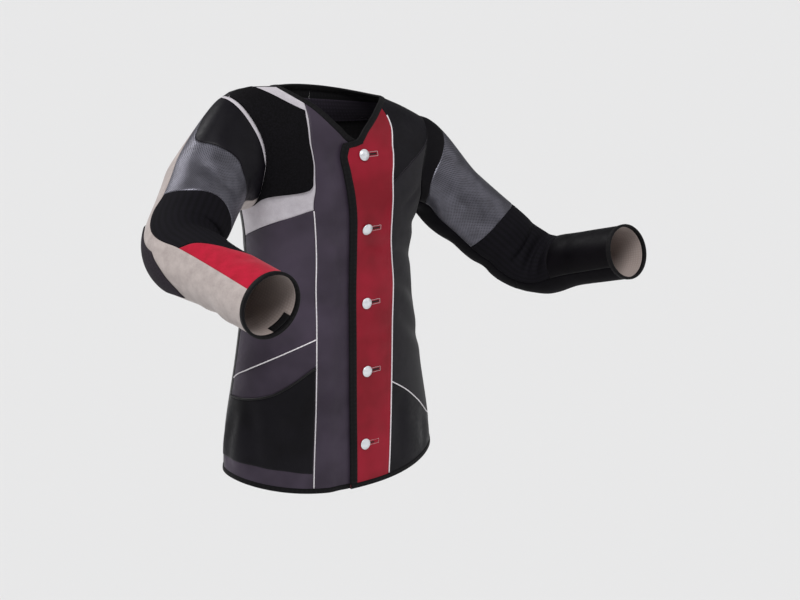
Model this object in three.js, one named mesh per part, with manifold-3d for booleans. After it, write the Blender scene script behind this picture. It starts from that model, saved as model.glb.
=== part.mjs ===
// Collarless shooting jacket, closed by five buttons and filled out as worn, with both elbows bent.
// Millimetres and degrees. +X is the wearer's left, -Y the front, +Z up. The origin lies on the body's
// upright axis at the height of the neck's side points. The right shoulder is carried higher than the left.
//
// The body of the jacket is one smooth surface, torso(angle, t): angle 0 is the centre front, 90 the
// wearer's left side, 180 the centre back, and t runs from the hem (0) to the neck edge (1).
// Each sleeve is another, sleeve(side, k, s): k is the angle round the armhole (0 top, 90 front,
// 180 underarm, 270 back), and s runs from the armhole (0) over the elbow (0.5) to the cuff (1).
// Every cut piece is a wall on a patch of one of the two, bounded by the seams that it shares.
import * as THREE from 'three';
import { mergeVertices } from 'three/addons/utils/BufferGeometryUtils.js';
import Module from 'manifold-3d';

// ---------------------------------------------------------------- driving sizes
const WALL = 2;              // leather and canvas together
const SEAM_GAP = 0.3;        // between two pieces at a seam
const REST_GAP = 0.3;        // between a piece and what is laid on it
const BINDING = { leaf: 1, rest: 0.4, turn: 1.3, slot: 0.35, hem: 0.0125, cuff: 0.024 };
const PIPING = { width: 2.7, height: 1.3 };
const PAD_THICK = 3;         // moulded shoulder and elbow pads
const POCKET_THICK = 1.6;
const FACING_THICK = 1.2;
const LINING_THICK = 1;
const LAP_DROP = 4.8;        // how far the right front lies inside the left one where they lap
const LAP = { from: -19, to: -11 };          // angles between which it sinks to that depth
const EDGE_ANGLE = { left: -7, right: 8 };   // the two front edges
const SIDE_SEAM = { left: 97, right: 104 };  // angle of each side seam at the hem
const LEAN = { slope: 0.123, from: -360, to: -40 };                    // the shoulder line's tilt
const SHRUG = { height: 20, from: 60, to: 185, low: -330, high: -110 };  // extra lift of the right shoulder

// ---------------------------------------------------------------- tables of sections
const table = (names, rows) => {
  const keys = names.split(' ');
  return rows.map((row) => Object.fromEntries(row.map((value, i) => [keys[i], value])));
};

const RINGS = table(
  't frontZ sideZ backZ halfWidth frontDepth backDepth centreY frontPower frontRise', [
    [0.00, -664, -638, -650, 201, 116, 118,   6, 2.25, 2.00],   // hem
    [0.10, -600, -580, -588, 197, 114, 118,   6, 2.20, 2.00],
    [0.24, -503, -492, -496, 181, 108, 114,   4, 2.20, 2.00],   // hip
    [0.38, -405, -398, -402, 165, 103, 110,   2, 2.20, 2.00],
    [0.50, -320, -314, -318, 154,  99, 107,   0, 2.20, 2.00],   // waist
    [0.60, -252, -246, -250, 152,  99, 108,  -3, 2.20, 2.00],
    [0.69, -196, -188, -186, 164, 102, 110,  -6, 2.25, 2.00],   // underarm
    [0.78, -156, -130, -132, 186, 101, 106,  -8, 2.25, 2.00],
    [0.86, -122,  -72,  -88, 200,  94,  98, -10, 2.20, 2.00],
    [0.91,  -98,  -36,  -54, 194,  86,  86, -12, 2.05, 1.90],   // shoulder
    [0.95,  -77,  -16,  -28, 155,  80,  74, -14, 1.75, 1.60],
    [1.00,  -46,    2,   10,  99,  73,  64, -16, 1.30, 1.35],   // neck edge
  ]);

const SLEEVE_SECTIONS = table('s outer inner side', [
  [0.00, 70, 70, 66],
  [0.14, 66, 66, 63],
  [0.28, 62, 62, 60],
  [0.42, 61, 60, 59],
  [0.50, 61, 58, 58],   // elbow
  [0.58, 57, 53, 54],
  [0.72, 48, 46, 47],
  [0.86, 47, 46, 46],
  [1.00, 46, 46, 46],   // cuff
]);
const VALLEY = { s: 0.55, spread: 0.1 };   // where the inside of a bent elbow sinks in

const ARMS = {
  left: {
    side: 1, upper: [0.9, -0.52, -0.856], fore: [0.072, -0.965, 0.276],
    upperLength: 291, foreLength: 228, bend: 72, root: [0, 0, 0], head: 105, valley: 0.42, forearm: 0.965,
    hole: { top: 0.925, bottom: 0.68, front: 46, back: 30, skew: 0.16 },
  },
  right: {
    side: -1, upper: [-0.455, -0.38, -0.417], fore: [0.095, -0.995, -0.156],
    upperLength: 212, foreLength: 235, bend: 72, root: [-42, 0, 6], head: 80, valley: 0.04, forearm: 1.035,
    hole: { top: 0.91, bottom: 0.68, front: 34, back: 30, skew: 0.32 },
  },
};

// The largest folds: where each lies, how deep it is and how far it spreads along s and round k.
const FOLDS = {
  left: table('s k depth length width', [
    [0.435, 62, 5.0, 0.022, 46],
    [0.525, 50, 6.0, 0.020, 52],
    [0.585, 66, 3.5, 0.018, 40],
    [0.380, 150, 3.0, 0.026, 40],
  ]),
  right: table('s k depth length width', [
    [0.455, 118, 5.0, 0.024, 46],
    [0.540, 112, 5.5, 0.022, 50],
    [0.390, 150, 3.0, 0.026, 38],
  ]),
};

// ---------------------------------------------------------------- small maths
const radians = THREE.MathUtils.degToRad;
const degrees = THREE.MathUtils.radToDeg;
const vector = (list) => new THREE.Vector3(...list);
const clamp = THREE.MathUtils.clamp;
const ease = (x) => {
  const u = clamp(x, 0, 1);
  return u * u * (3 - 2 * u);
};

// Catmull-Rom through a table's rows: the value of one column at x of another.
function along(rows, column, x, by = 't') {
  let i = 0;
  while (i < rows.length - 2 && x >= rows[i + 1][by]) i += 1;
  const slope = (j) => {
    const a = rows[Math.max(j - 1, 0)];
    const b = rows[Math.min(j + 1, rows.length - 1)];
    return (b[column] - a[column]) / (b[by] - a[by]);
  };
  const width = rows[i + 1][by] - rows[i][by];
  const u = (x - rows[i][by]) / width;
  const [u2, u3] = [u * u, u * u * u];
  return rows[i][column] * (2 * u3 - 3 * u2 + 1) + slope(i) * width * (u3 - 2 * u2 + u)
    + rows[i + 1][column] * (3 * u2 - 2 * u3) + slope(i + 1) * width * (u3 - u2);
}

const power = (x, exponent) => Math.sign(x) * Math.abs(x) ** exponent;

// ---------------------------------------------------------------- the two surfaces
function torso(angle, t) {
  const sine = Math.sin(radians(angle));
  const cosine = Math.cos(radians(angle));
  const ring = (column) => along(RINGS, column, t);
  const front = cosine >= 0;
  const exponent = 2 / (front ? ring('frontPower') : 2.15);
  const x = ring('halfWidth') * power(sine, exponent);
  const depth = front ? -ring('frontDepth') : ring('backDepth');
  const y = ring('centreY') + depth * Math.abs(cosine) ** exponent;
  const low = front ? ring('frontZ') : ring('backZ');
  const rise = Math.abs(sine) ** (front ? ring('frontRise') : 2);
  const level = low + (ring('sideZ') - low) * rise;
  const shrug = SHRUG.height * ease((-x - SHRUG.from) / (SHRUG.to - SHRUG.from))
    * ease((level - SHRUG.low) / (SHRUG.high - SHRUG.low));
  const z = level + shrug;
  const lean = LEAN.slope * ease((z - LEAN.from) / (LEAN.to - LEAN.from));
  return new THREE.Vector3(x, y, z - x * lean);
}

// The armhole as a loop in the torso's own (angle, t).
function armholeAt(arm, k) {
  const { top, bottom, front, back, skew } = arm.hole;
  const sine = Math.sin(radians(k));
  const cosine = Math.cos(radians(k));
  const reach = (sine > 0 ? front : back) * Math.abs(sine) ** 0.75 * (1 + skew * cosine);
  return [arm.side * (90 - Math.sign(sine) * reach), (top + bottom) / 2 + (top - bottom) / 2 * cosine];
}

// The axis of an arm: straight, round the elbow on an arc, straight again.
function settleArm(arm) {
  const loop = Array.from({ length: 48 }, (_, i) => torso(...armholeAt(arm, i * 7.5)));
  const centre = loop.reduce((sum, p) => sum.add(p), new THREE.Vector3()).divideScalar(loop.length);
  arm.start = centre.add(vector(arm.root));
  arm.u = vector(arm.upper).normalize();
  arm.f = vector(arm.fore).normalize();
  arm.turn = Math.acos(arm.u.dot(arm.f));
  arm.inward = arm.f.clone().addScaledVector(arm.u, -arm.f.dot(arm.u)).normalize();
  const cut = arm.bend * Math.tan(arm.turn / 2);
  arm.bendFrom = arm.upperLength - cut;
  arm.bendTo = arm.bendFrom + arm.bend * arm.turn;
  arm.length = arm.bendTo + arm.foreLength - cut;
  arm.pivot = arm.start.clone().addScaledVector(arm.u, arm.bendFrom).addScaledVector(arm.inward, arm.bend);
  arm.across = new THREE.Vector3().crossVectors(arm.u, arm.f).normalize();
  const frame = axisAt(arm, 0);
  const angles = loop.map((p) => {
    const d = p.clone().sub(frame.centre);
    return degrees(Math.atan2(d.dot(frame.across), d.dot(frame.outward)));
  });
  for (let i = 1; i < angles.length; i += 1) {
    while (angles[i] - angles[i - 1] > 180) angles[i] -= 360;
    while (angles[i] - angles[i - 1] < -180) angles[i] += 360;
  }
  arm.sense = Math.sign(angles[47] - angles[0]);
  arm.offset = angles.reduce((sum, a, i) => sum + a - arm.sense * i * 7.5, 0) / angles.length;
}

function axisAt(arm, distance) {
  const { u, f, inward, bend, bendFrom, bendTo, turn, pivot } = arm;
  const swing = clamp((distance - bendFrom) / bend, 0, turn);
  const direction = u.clone().multiplyScalar(Math.cos(swing)).addScaledVector(inward, Math.sin(swing));
  const outward = inward.clone().multiplyScalar(-Math.cos(swing)).addScaledVector(u, Math.sin(swing));
  const centre = pivot.clone().addScaledVector(outward, bend);
  if (distance < bendFrom) centre.addScaledVector(u, distance - bendFrom);
  if (distance > bendTo) centre.addScaledVector(f, distance - bendTo);
  return { centre, outward, across: new THREE.Vector3().crossVectors(direction, outward) };
}

function tube(arm, k, s) {
  const elbow = (arm.bendFrom + arm.bendTo) / 2;
  const distance = s < 0.5 ? s / 0.5 * elbow : elbow + (s - 0.5) / 0.5 * (arm.length - elbow);
  const { centre, outward, across } = axisAt(arm, distance);
  const psi = radians(arm.sense * k + arm.offset);
  const cosine = Math.cos(psi);
  const full = lerp(1, arm.forearm, ease((s - 0.5) / 0.22));
  const size = (column) => along(SLEEVE_SECTIONS, column, s, 's') * full;
  const sunk = 1 - arm.valley * Math.exp(-(((s - VALLEY.s) / VALLEY.spread) ** 2));
  let fold = 0;
  for (const row of arm.folds) {
    const round = ((k - row.k + 540) % 360) - 180;
    fold += row.depth * Math.exp(-(((s - row.s) / row.length) ** 2) - (round / row.width) ** 2);
  }
  const reach = cosine > 0 ? size('outer') : size('inner') * sunk;
  return centre.addScaledVector(outward, (reach - fold) * cosine)
    .addScaledVector(across, (size('side') - fold) * Math.sin(psi));
}

function sleeve(arm, k, s) {
  const head = arm.head / (arm.bendFrom + arm.bendTo);   // where the sleeve head has become a plain tube
  if (s >= head) return tube(arm, k, s);
  const u = s / head;
  const [u2, u3] = [u * u, u * u * u];
  const end = tube(arm, k, head);
  const leave = tube(arm, k, head + 0.01).sub(end).multiplyScalar(head / 0.01);
  const top = Math.max(Math.cos(radians(k)), 0);
  const under = Math.max(-Math.cos(radians(k)), 0);
  const start = arm.u.clone().add(new THREE.Vector3(arm.side * (0.75 * top + 1.1 * under), 0, 0.55 * top));
  start.normalize().multiplyScalar(arm.head);
  return torso(...armholeAt(arm, k)).multiplyScalar(2 * u3 - 3 * u2 + 1)
    .addScaledVector(start, u3 - 2 * u2 + u)
    .addScaledVector(end, 3 * u2 - 2 * u3)
    .addScaledVector(leave, u3 - u2);
}

// Point and outward normal of a surface, by differences.
function located(surface, a, b, stepA, stepB, sense = 1) {
  const low = Math.max(b - stepB, 0);
  const high = Math.min(b + stepB, 1);
  const alongA = surface(a + stepA, b).sub(surface(a - stepA, b));
  const alongB = surface(a, high).sub(surface(a, low));
  return { p: surface(a, b), n: alongA.cross(alongB).normalize().multiplyScalar(sense) };
}

for (const [name, arm] of Object.entries(ARMS)) {
  arm.folds = FOLDS[name];
  settleArm(arm);
}

// Where a panel meets a sleeve, both walls are mitred: they share one edge direction.
function mitre(first, second) {
  const sum = first.clone().add(second);
  const length = Math.min(2 / Math.max(sum.length(), 0.01), 3.2);
  return sum.normalize().multiplyScalar(length);
}
const onSleeve = (arm) => (k, s) => {
  const spot = located((a, b) => sleeve(arm, a, b), k, s, 3, 0.004, arm.side);
  if (s === 0) spot.n = mitre(spot.n, located(torso, ...armholeAt(arm, k), 1.5, 0.005).n);
  return spot;
};
const armholeSpot = (arm, k) => {
  const [angle, t] = armholeAt(arm, k);
  return [angle, t, onSleeve(arm)(k, 0).n];
};
const onTorso = (angle, t, edge) => {
  const spot = located(torso, angle, t, 1.5, 0.005);
  if (edge) spot.n = edge;
  return spot;
};
// The right front sinks under the left one where they lap.
const onLap = (angle, t, edge) => {
  const spot = onTorso(angle, t, edge);
  spot.p.addScaledVector(spot.n, -LAP_DROP * ease((angle - LAP.from) / (LAP.to - LAP.from)));
  return spot;
};

// ---------------------------------------------------------------- patches and walls
const lerp = (a, b, u) => a + (b - a) * u;
const spread = (from, to, count) => Array.from({ length: count + 1 }, (_, i) => lerp(from, to, i / count));
const seamPoints = (rows) => table('angle t', rows);

// Share of its length that each point of an edge has passed.
function shares(edge) {
  const sizes = [0];
  for (let i = 1; i < edge.length; i += 1) {
    const [turn, climb] = [0, 1].map((c) => edge[i][c] - edge[i - 1][c]);
    sizes.push(sizes[i - 1] + Math.hypot(turn * 2.4, climb * 680));
  }
  return sizes.map((size) => size / sizes[sizes.length - 1]);
}

// A patch between four edges that are lists of (angle, t). Bottom and top run the same way, and so do
// left and right; the corners are shared.
function coons(bottom, top, left, right) {
  const us = shares(bottom).map((u, i) => (u + shares(top)[i]) / 2);
  const vs = shares(left).map((v, j) => (v + shares(right)[j]) / 2);
  return vs.map((v, j) => us.map((u, i) => {
    if (i === 0) return left[j];
    if (i === us.length - 1) return right[j];
    if (j === 0) return bottom[i];
    if (j === vs.length - 1) return top[i];
    return [0, 1].map((c) => (1 - v) * bottom[i][c] + v * top[i][c] + (1 - u) * left[j][c] + u * right[j][c]
      - (1 - u) * (1 - v) * bottom[0][c] - u * (1 - v) * bottom[us.length - 1][c]
      - (1 - u) * v * top[0][c] - u * v * top[us.length - 1][c]);
  }));
}

// Rows of a patch filled in between cross curves, with so many rows from each to the next.
function stack(curves, counts) {
  const rows = [];
  counts.forEach((count, c) => {
    for (let j = 0; j < count; j += 1) {
      rows.push(curves[c].map((p, i) => [0, 1].map((n) => lerp(p[n], curves[c + 1][i][n], j / count))));
    }
  });
  rows.push(curves[curves.length - 1]);
  return rows;
}

const settle = (grid, place) => grid.map((row) => row.map((d) => place(...d)));

// Draws the rim of a patch in by half a seam gap, square to the seam.
function trimmed(grid, round = false) {
  const [rows, columns] = [grid.length - 1, grid[0].length - 1];
  const step = (a, b) => b.p.clone().sub(a.p);
  const [r, c] = [rows >> 1, columns >> 1];
  const facing = step(grid[r][c], grid[r][c + 1]).cross(step(grid[r][c], grid[r + 1][c]));
  const hand = Math.sign(facing.dot(grid[r][c].n));
  return grid.map((row, j) => row.map((spot, i) => {
    const shift = new THREE.Vector3();
    const alongRow = step(row[Math.max(i - 1, 0)], row[Math.min(i + 1, columns)]);
    const alongColumn = step(grid[Math.max(j - 1, 0)][i], grid[Math.min(j + 1, rows)][i]);
    const draw = (way) => shift.addScaledVector(way.normalize(), hand * SEAM_GAP / 2);
    if (j === 0) draw(spot.n.clone().cross(alongRow));
    if (j === rows) draw(alongRow.clone().cross(spot.n));
    if (!round && i === 0) draw(alongColumn.clone().cross(spot.n));
    if (!round && i === columns) draw(spot.n.clone().cross(alongColumn));
    return { p: spot.p.clone().add(shift), n: spot.n, seam: spot.p };
  }));
}

// Splits a four-cornered face along the shorter diagonal of its key points. Neighbours have the same
// key points, so the faces that two pieces turn to one another are split alike.
function split(corners, keys) {
  const [a, b, c, d] = corners;
  const straight = keys[0].distanceToSquared(keys[2]) <= keys[1].distanceToSquared(keys[3]);
  return straight ? [[a, b, c], [a, c, d]] : [[a, b, d], [b, c, d]];
}

// A closed solid from its corner points and triangles.
function solid(corners, triangles) {
  const flat = new Float32Array(triangles.length * 9);
  triangles.forEach((triangle, i) => {
    triangle.forEach((corner, c) => corners[corner].toArray(flat, i * 9 + c * 3));
  });
  const geometry = new THREE.BufferGeometry();
  geometry.setAttribute('position', new THREE.BufferAttribute(flat, 3));
  geometry.computeVertexNormals();
  return geometry;
}

function outwards(corners, triangles) {
  let volume = 0;
  const cross = new THREE.Vector3();
  for (const [a, b, c] of triangles) volume += corners[a].dot(cross.crossVectors(corners[b], corners[c]));
  return volume > 0 ? triangles : triangles.map(([a, b, c]) => [a, c, b]);
}

// The wall between two heights over a patch. A round patch closes on itself along each row.
function wall(grid, low, high, round = false) {
  const rows = grid.length - 1;
  const width = grid[0].length;
  const columns = round ? width : width - 1;
  const corners = [];
  for (const height of [low, high]) {
    for (const row of grid) {
      for (const { p, n } of row) corners.push(p.clone().addScaledVector(n, height));
    }
  }
  const spot = (j, i) => grid[j][i % width];
  const middle = (j, i) => spot(j, i).seam ?? spot(j, i).p;
  const key = (layer, j, i) => middle(j, i).clone().addScaledVector(spot(j, i).n, layer ? high : low);
  const at = (layer, j, i) => layer * (rows + 1) * width + j * width + (i % width);
  const triangles = [];
  const face = (places, keyOf) => triangles.push(...split(places.map((q) => at(...q)), places.map(keyOf)));
  for (let j = 0; j < rows; j += 1) {
    for (let i = 0; i < columns; i += 1) {
      const cell = [[j, i], [j, i + 1], [j + 1, i + 1], [j + 1, i]];
      face(cell.map((c) => [1, ...c]), ([, ...c]) => middle(...c));
      face(cell.map((c) => [0, ...c]).reverse(), ([, ...c]) => middle(...c));
    }
  }
  const side = (first, second) => face([[0, ...first], [0, ...second], [1, ...second], [1, ...first]],
    (q) => key(...q));
  for (let i = 0; i < columns; i += 1) {
    side([0, i], [0, i + 1]);
    side([rows, i + 1], [rows, i]);
  }
  for (let j = 0; !round && j < rows; j += 1) {
    side([j + 1, 0], [j, 0]);
    side([j, columns], [j + 1, columns]);
  }
  return solid(corners, outwards(corners, triangles));
}

// A bar of any section swept along: rings of points, and the triangles that close its two ends.
function swept(rings, ends, round = false, keys = rings) {
  const size = rings[0].length;
  const corners = rings.flat();
  const triangles = [];
  const steps = round ? rings.length : rings.length - 1;
  for (let j = 0; j < steps; j += 1) {
    const next = (j + 1) % rings.length;
    for (let i = 0; i < size; i += 1) {
      const side = (i + 1) % size;
      triangles.push(...split([j * size + i, j * size + side, next * size + side, next * size + i],
        [keys[j][i], keys[j][side], keys[next][side], keys[next][i]]));
    }
  }
  if (!round) {
    const last = (rings.length - 1) * size;
    for (const [a, b, c] of ends) triangles.push([a, c, b], [last + a, last + b, last + c]);
  }
  return solid(corners, outwards(corners, triangles));
}

// A folded strip over the edge of a panel: `edge` and `inner` are the panel's last two lines of points.
const FOLD_ENDS = [[0, 1, 6], [0, 6, 7], [1, 2, 5], [1, 5, 6], [2, 3, 4], [2, 4, 5]];
function binding(edge, inner, round = false) {
  const clear = WALL / 2 + BINDING.rest;
  const out = clear + BINDING.leaf;
  const rings = edge.map((spot, i) => {
    const inwards = inner[i].p.clone().sub(spot.p).normalize();
    const put = (base, back, height) => base.p.clone().addScaledVector(inwards, -back)
      .addScaledVector(base.n, height);
    return [
      put(inner[i], 0, out), put(spot, BINDING.turn, out),
      put(spot, BINDING.turn, -out), put(inner[i], 0, -out),
      put(inner[i], 0, -clear), put(spot, BINDING.slot, -clear), put(spot, BINDING.slot, clear),
      put(inner[i], 0, clear),
    ];
  });
  const keys = edge.map(({ p }, i) => [inner[i].p, p, p, inner[i].p, inner[i].p, p, p, inner[i].p]);
  return swept(rings, FOLD_ENDS, round, keys);
}

// A flat cord laid over a seam.
const BAR_ENDS = [[0, 1, 2], [0, 2, 3]];
function cordOver(line, width = PIPING.width, low = WALL / 2 + REST_GAP, thick = PIPING.height) {
  const rings = line.map(({ p, n }, i) => {
    const before = line[Math.max(i - 1, 0)].p;
    const after = line[Math.min(i + 1, line.length - 1)].p;
    const across = after.clone().sub(before).normalize().cross(n).normalize().multiplyScalar(width / 2);
    const put = (way, height) => p.clone().addScaledVector(across, way).addScaledVector(n, height);
    return [put(-1, low), put(1, low), put(1, low + thick), put(-1, low + thick)];
  });
  return swept(rings, BAR_ENDS);
}

// ---------------------------------------------------------------- materials
const finish = (color, roughness, metalness = 0) => () => (
  new THREE.MeshStandardMaterial({ color, roughness, metalness }));
const FINISH = {
  greyLeather: finish(0x4a4350, 0.5),
  blackLeather: finish(0x26232a, 0.5),
  redLeather: finish(0x9d2237, 0.45),
  redSuede: finish(0xb70a32, 0.9),
  whiteSuede: finish(0xc4bec6, 0.9),
  beigeSuede: finish(0xb8aeab, 0.9),
  blackSuede: finish(0x211d22, 0.9),
  gripRubber: finish(0x16141a, 0.85),
  silverMesh: finish(0x77767f, 0.5, 0.2),
  stretchCloth: finish(0x17141b, 0.85),
  blackBinding: finish(0x141315, 0.7),
  whitePiping: finish(0xdcd8dc, 0.6),
  creamLining: finish(0xb8aaa2, 0.9),
  greyLining: finish(0x3a333f, 0.8),
  button: finish(0xe3e6ea, 0.3, 0.6),
};
const jacket = new THREE.Group();
jacket.name = 'shooting_jacket';
function add(name, geometry, kind) {
  const mesh = new THREE.Mesh(geometry, FINISH[kind]());
  mesh.name = name;
  jacket.add(mesh);
}

// ---------------------------------------------------------------- seams of the body
const rightSeam = seamPoints([
  [-27, 0], [-27, 0.23], [-28.5, 0.42], [-30, 0.54], [-29, 0.716], [-24.5, 0.8], [-24.5, 0.9], [-38, 0.96],
  [-55, 1],
]);
const leftSeam = seamPoints([
  [12, 0], [16, 0.17], [22.5, 0.4], [26, 0.5], [24.5, 0.57], [20, 0.67], [16.5, 0.8], [17.5, 0.87],
  [24, 0.925], [39, 0.962], [56, 1],
]);
const sideAngle = (arm, t) => {
  const hem = arm.side > 0 ? SIDE_SEAM.left : SIDE_SEAM.right;
  const [top, level] = armholeAt(arm, 200);
  return lerp(arm.side * hem, top, t / level);
};
const chestBand = seamPoints([[-29, 0.716], [-44, 0.684], [-60, 0.66], [-79, 0.636], [-105, 0.606]]);
const hipLine = seamPoints([[-29, 0.396], [-46, 0.368], [-70, 0.328], [-92, 0.292], [-110, 0.262]]);
const pocketMouth = seamPoints([[-29, 0.328], [-44, 0.284], [-58, 0.254], [-80, 0.233], [-110, 0.221]]);
const pocketFoot = seamPoints([[-27, 0.056], [-58, 0.062], [-110, 0.052]]);
const leftCurve = seamPoints([[19, 0.256], [31, 0.218], [43, 0.172], [60, 0.105], [100, 0.05]]);
const shoulderCut = seamPoints([[17, 0.82], [26, 0.858], [40, 0.884], [60, 0.896]]);
const leftNeck = seamPoints([
  [-12, 0.946], [-7, 0.957], [4, 0.972], [15, 0.985], [38, 0.996], [56, 1], [90, 1]]);

// A curve that is given as t over angle, from one angle to another.
const across = (curve, angles) => {
  const rows = curve[0].angle < curve[curve.length - 1].angle ? curve : [...curve].reverse();
  return angles.map((angle) => [angle, along(rows, 't', angle, 'angle')]);
};
// A seam that is given as angle over t.
const up = (seam, ts) => ts.map((t) => [along(seam, 'angle', t), t]);
// The neck binding's width in t.
const neckStrip = (angle) => 0.011 + 0.008 * Math.cos(radians(angle)) ** 2;

// ---------------------------------------------------------------- body: rows shared by neighbouring pieces
const ROUND_STEP = 20;
const kFrom = (from, to) => spread(from, to, Math.abs(to - from) / ROUND_STEP);
const shoulderRows = (arm) => [armholeAt(arm, 0)[1], 0.953, 0.985, 1];
const sidePoints = (arm, ts) => ts.map((t) => [sideAngle(arm, t), t]);
const holePoints = (arm, from, to) => kFrom(from, to).map((k) => armholeSpot(arm, k));
const shoulderPoints = (arm) => shoulderRows(arm).map((t) => [arm.side * 90, t]);

// ---------------------------------------------------------------- body pieces
const last = (list) => list[list.length - 1];
const column = (grid, i) => grid.map((row) => row[i]);
const lastColumn = (grid) => column(grid, grid[0].length - 1);
const joined = (...lists) => lists.flatMap((list, i) => (i ? list.slice(1) : list));
const backwards = (list) => [...list].reverse();
const right = ARMS.right;
const left = ARMS.left;

// A line of points across a piece, from one end to the other along a curve, split by shares of its angle.
const SPLIT = [0, 0.07, 0.27, 0.48, 0.7, 0.93, 1];
const lineAcross = (start, curve, end) => SPLIT.map((share, i) => {
  if (i === 0) return start;
  if (i === SPLIT.length - 1) return end;
  const angle = lerp(start[0], end[0], share);
  return curve ? across(curve, [angle])[0] : [angle, lerp(start[1], end[1], share)];
});
const onSeam = (seam, t) => up(seam, [t])[0];
const onSide = (arm, t) => [sideAngle(arm, t), t];

// Keeps a patch's inner points clear of the underside of the armhole, where its rows crowd together.
const UNDERARM_ROOM = 0.024;
function belowHole(arm, grid) {
  const underside = spread(90, 200, 22).map((k) => armholeAt(arm, k));
  const limit = (angle) => {
    const i = underside.findIndex((p, n) => n > 0 && Math.abs(p[0]) >= Math.abs(angle));
    if (i < 1 || Math.abs(angle) < Math.abs(underside[0][0])) return 1;
    const [a, b] = [underside[i - 1], underside[i]];
    return lerp(a[1], b[1], (angle - a[0]) / (b[0] - a[0]));
  };
  const bottom = arm.hole.bottom + 0.08;
  return grid.map((row) => row.map((d, i) => (i === 0 || i === row.length - 1 || d[1] > bottom ? d
    : [d[0], Math.min(d[1], limit(d[0]) - UNDERARM_ROOM)])));
}

// Right front: hip, side and yoke between the centre seam and the side seam.
const hipTop = lineAcross(onSeam(rightSeam, 0.396), hipLine, onSide(right, 0.269));
const hipGrid = stack([
  lineAcross(onSeam(rightSeam, 0), null, onSide(right, 0)),
  lineAcross(onSeam(rightSeam, BINDING.hem), null, onSide(right, BINDING.hem)),
  lineAcross(onSeam(rightSeam, 0.056), pocketFoot, onSide(right, 0.053)),
  lineAcross(onSeam(rightSeam, 0.328), pocketMouth, onSide(right, 0.222)),
  hipTop,
], [1, 1, 4, 1]);
const chestTop = lineAcross(onSeam(rightSeam, 0.716), chestBand, onSide(right, 0.611));
const sideGrid = coons(hipTop, chestTop, up(rightSeam, spread(0.396, 0.716, 5)),
  sidePoints(right, spread(0.269, 0.611, 5)));
const yokeSeam = [0.716, 0.755, ...spread(0.755, 0.965, 10).slice(1), 0.976, 1 - neckStrip(52), 1];
const yokeOuter = [last(chestTop), ...holePoints(right, 200, 0), ...shoulderPoints(right).slice(1)];
const yokeTop = lineAcross([-55, 1], null, [-90, 1]);
const yokeGrid = belowHole(right, coons(chestTop, yokeTop, up(rightSeam, yokeSeam), yokeOuter));

// Right front's centre panel, from the hidden edge out to the seam, on the same rows.
const CENTRE_SPLIT = [0, 0.24, 0.46, 0.57, 0.67, 0.78, 1];
const rightRows = joined(column(hipGrid, 0), column(sideGrid, 0), column(yokeGrid, 0));
const centreGrid = rightRows.map(([angle, t], j) => CENTRE_SPLIT.map((share) => {
  const dip = 0.036 * ease((t - 0.7) / 0.3) * ease(1 - share);
  const strip = j === rightRows.length - 2 ? neckStrip(lerp(8, angle, share)) - neckStrip(angle) : 0;
  return [lerp(EDGE_ANGLE.right, angle, share), t - dip - strip];
}));

// Left front: three pieces between the placket's seam and the side seam.
const lowTop = lineAcross(onSeam(leftSeam, 0.256), leftCurve, onSide(left, 0.05));
const lowGrid = stack([
  lineAcross(onSeam(leftSeam, 0), null, onSide(left, 0)),
  lineAcross(onSeam(leftSeam, BINDING.hem), null, onSide(left, BINDING.hem)),
  lowTop,
], [1, 4]);
const midTop = lineAcross(onSeam(leftSeam, 0.82), shoulderCut, armholeSpot(left, 40));
const midRows = 16;
const midOuter = [...sidePoints(left, spread(0.05, armholeAt(left, 200)[1], 8)).slice(0, -1),
  ...holePoints(left, 200, 40)];
const midGrid = belowHole(left, coons(lowTop, midTop, up(leftSeam, spread(0.256, 0.82, midRows)), midOuter));
const upperSeam = [0.82, 0.86, 0.9, 0.945, 1 - neckStrip(54), 1];
const upperOuter = [...holePoints(left, 40, 0), ...shoulderPoints(left).slice(1)];
const upperGrid = coons(midTop, lineAcross([56, 1], null, [90, 1]), up(leftSeam, upperSeam), upperOuter);

// Left placket, from the front edge to its seam. Its top follows the neck edge down to the corner.
const frontEdge = seamPoints([[-7, 0], [-7, 0.6], [-8, 0.86], [-12, 0.946]]);
const edgeStrip = seamPoints([[-3.5, 0], [-3, 0.232], [-2, 0.58], [-3.4, 0.86], [-6.5, 0.95]]);
const PLACKET_SPLIT = [0, 0.35, 0.68, 1];
const leftRows = joined(column(lowGrid, 0), column(midGrid, 0), column(upperGrid, 0));
const placketRow = (seamAngle, t) => {
  const drop = 0.054 * ease((t - 0.6) / 0.4);
  const edge = onSeam(frontEdge, t - drop);
  const strip = onSeam(edgeStrip, Math.min(t - drop, 0.95));
  const rise = (angle) => {
    const share = (angle - strip[0]) / (seamAngle - strip[0]);
    return (across(leftNeck, [lerp(strip[0], 56, share)])[0][1] - 0.946) / 0.054;
  };
  const level = (angle) => edge[1] + (t - edge[1]) * rise(angle);
  return [edge, ...PLACKET_SPLIT.map((share) => {
    const angle = lerp(strip[0], seamAngle, share);
    return share === 1 ? [seamAngle, t] : [angle, level(angle)];
  })];
};
const placketGrid = leftRows.map(([angle, t]) => placketRow(angle, t));
const neckRow = last(placketGrid);
placketGrid[placketGrid.length - 2] = neckRow.map(([angle, t], i) => (
  i === neckRow.length - 1 ? placketGrid[placketGrid.length - 2][i] : [angle, t - neckStrip(angle)]));

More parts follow.
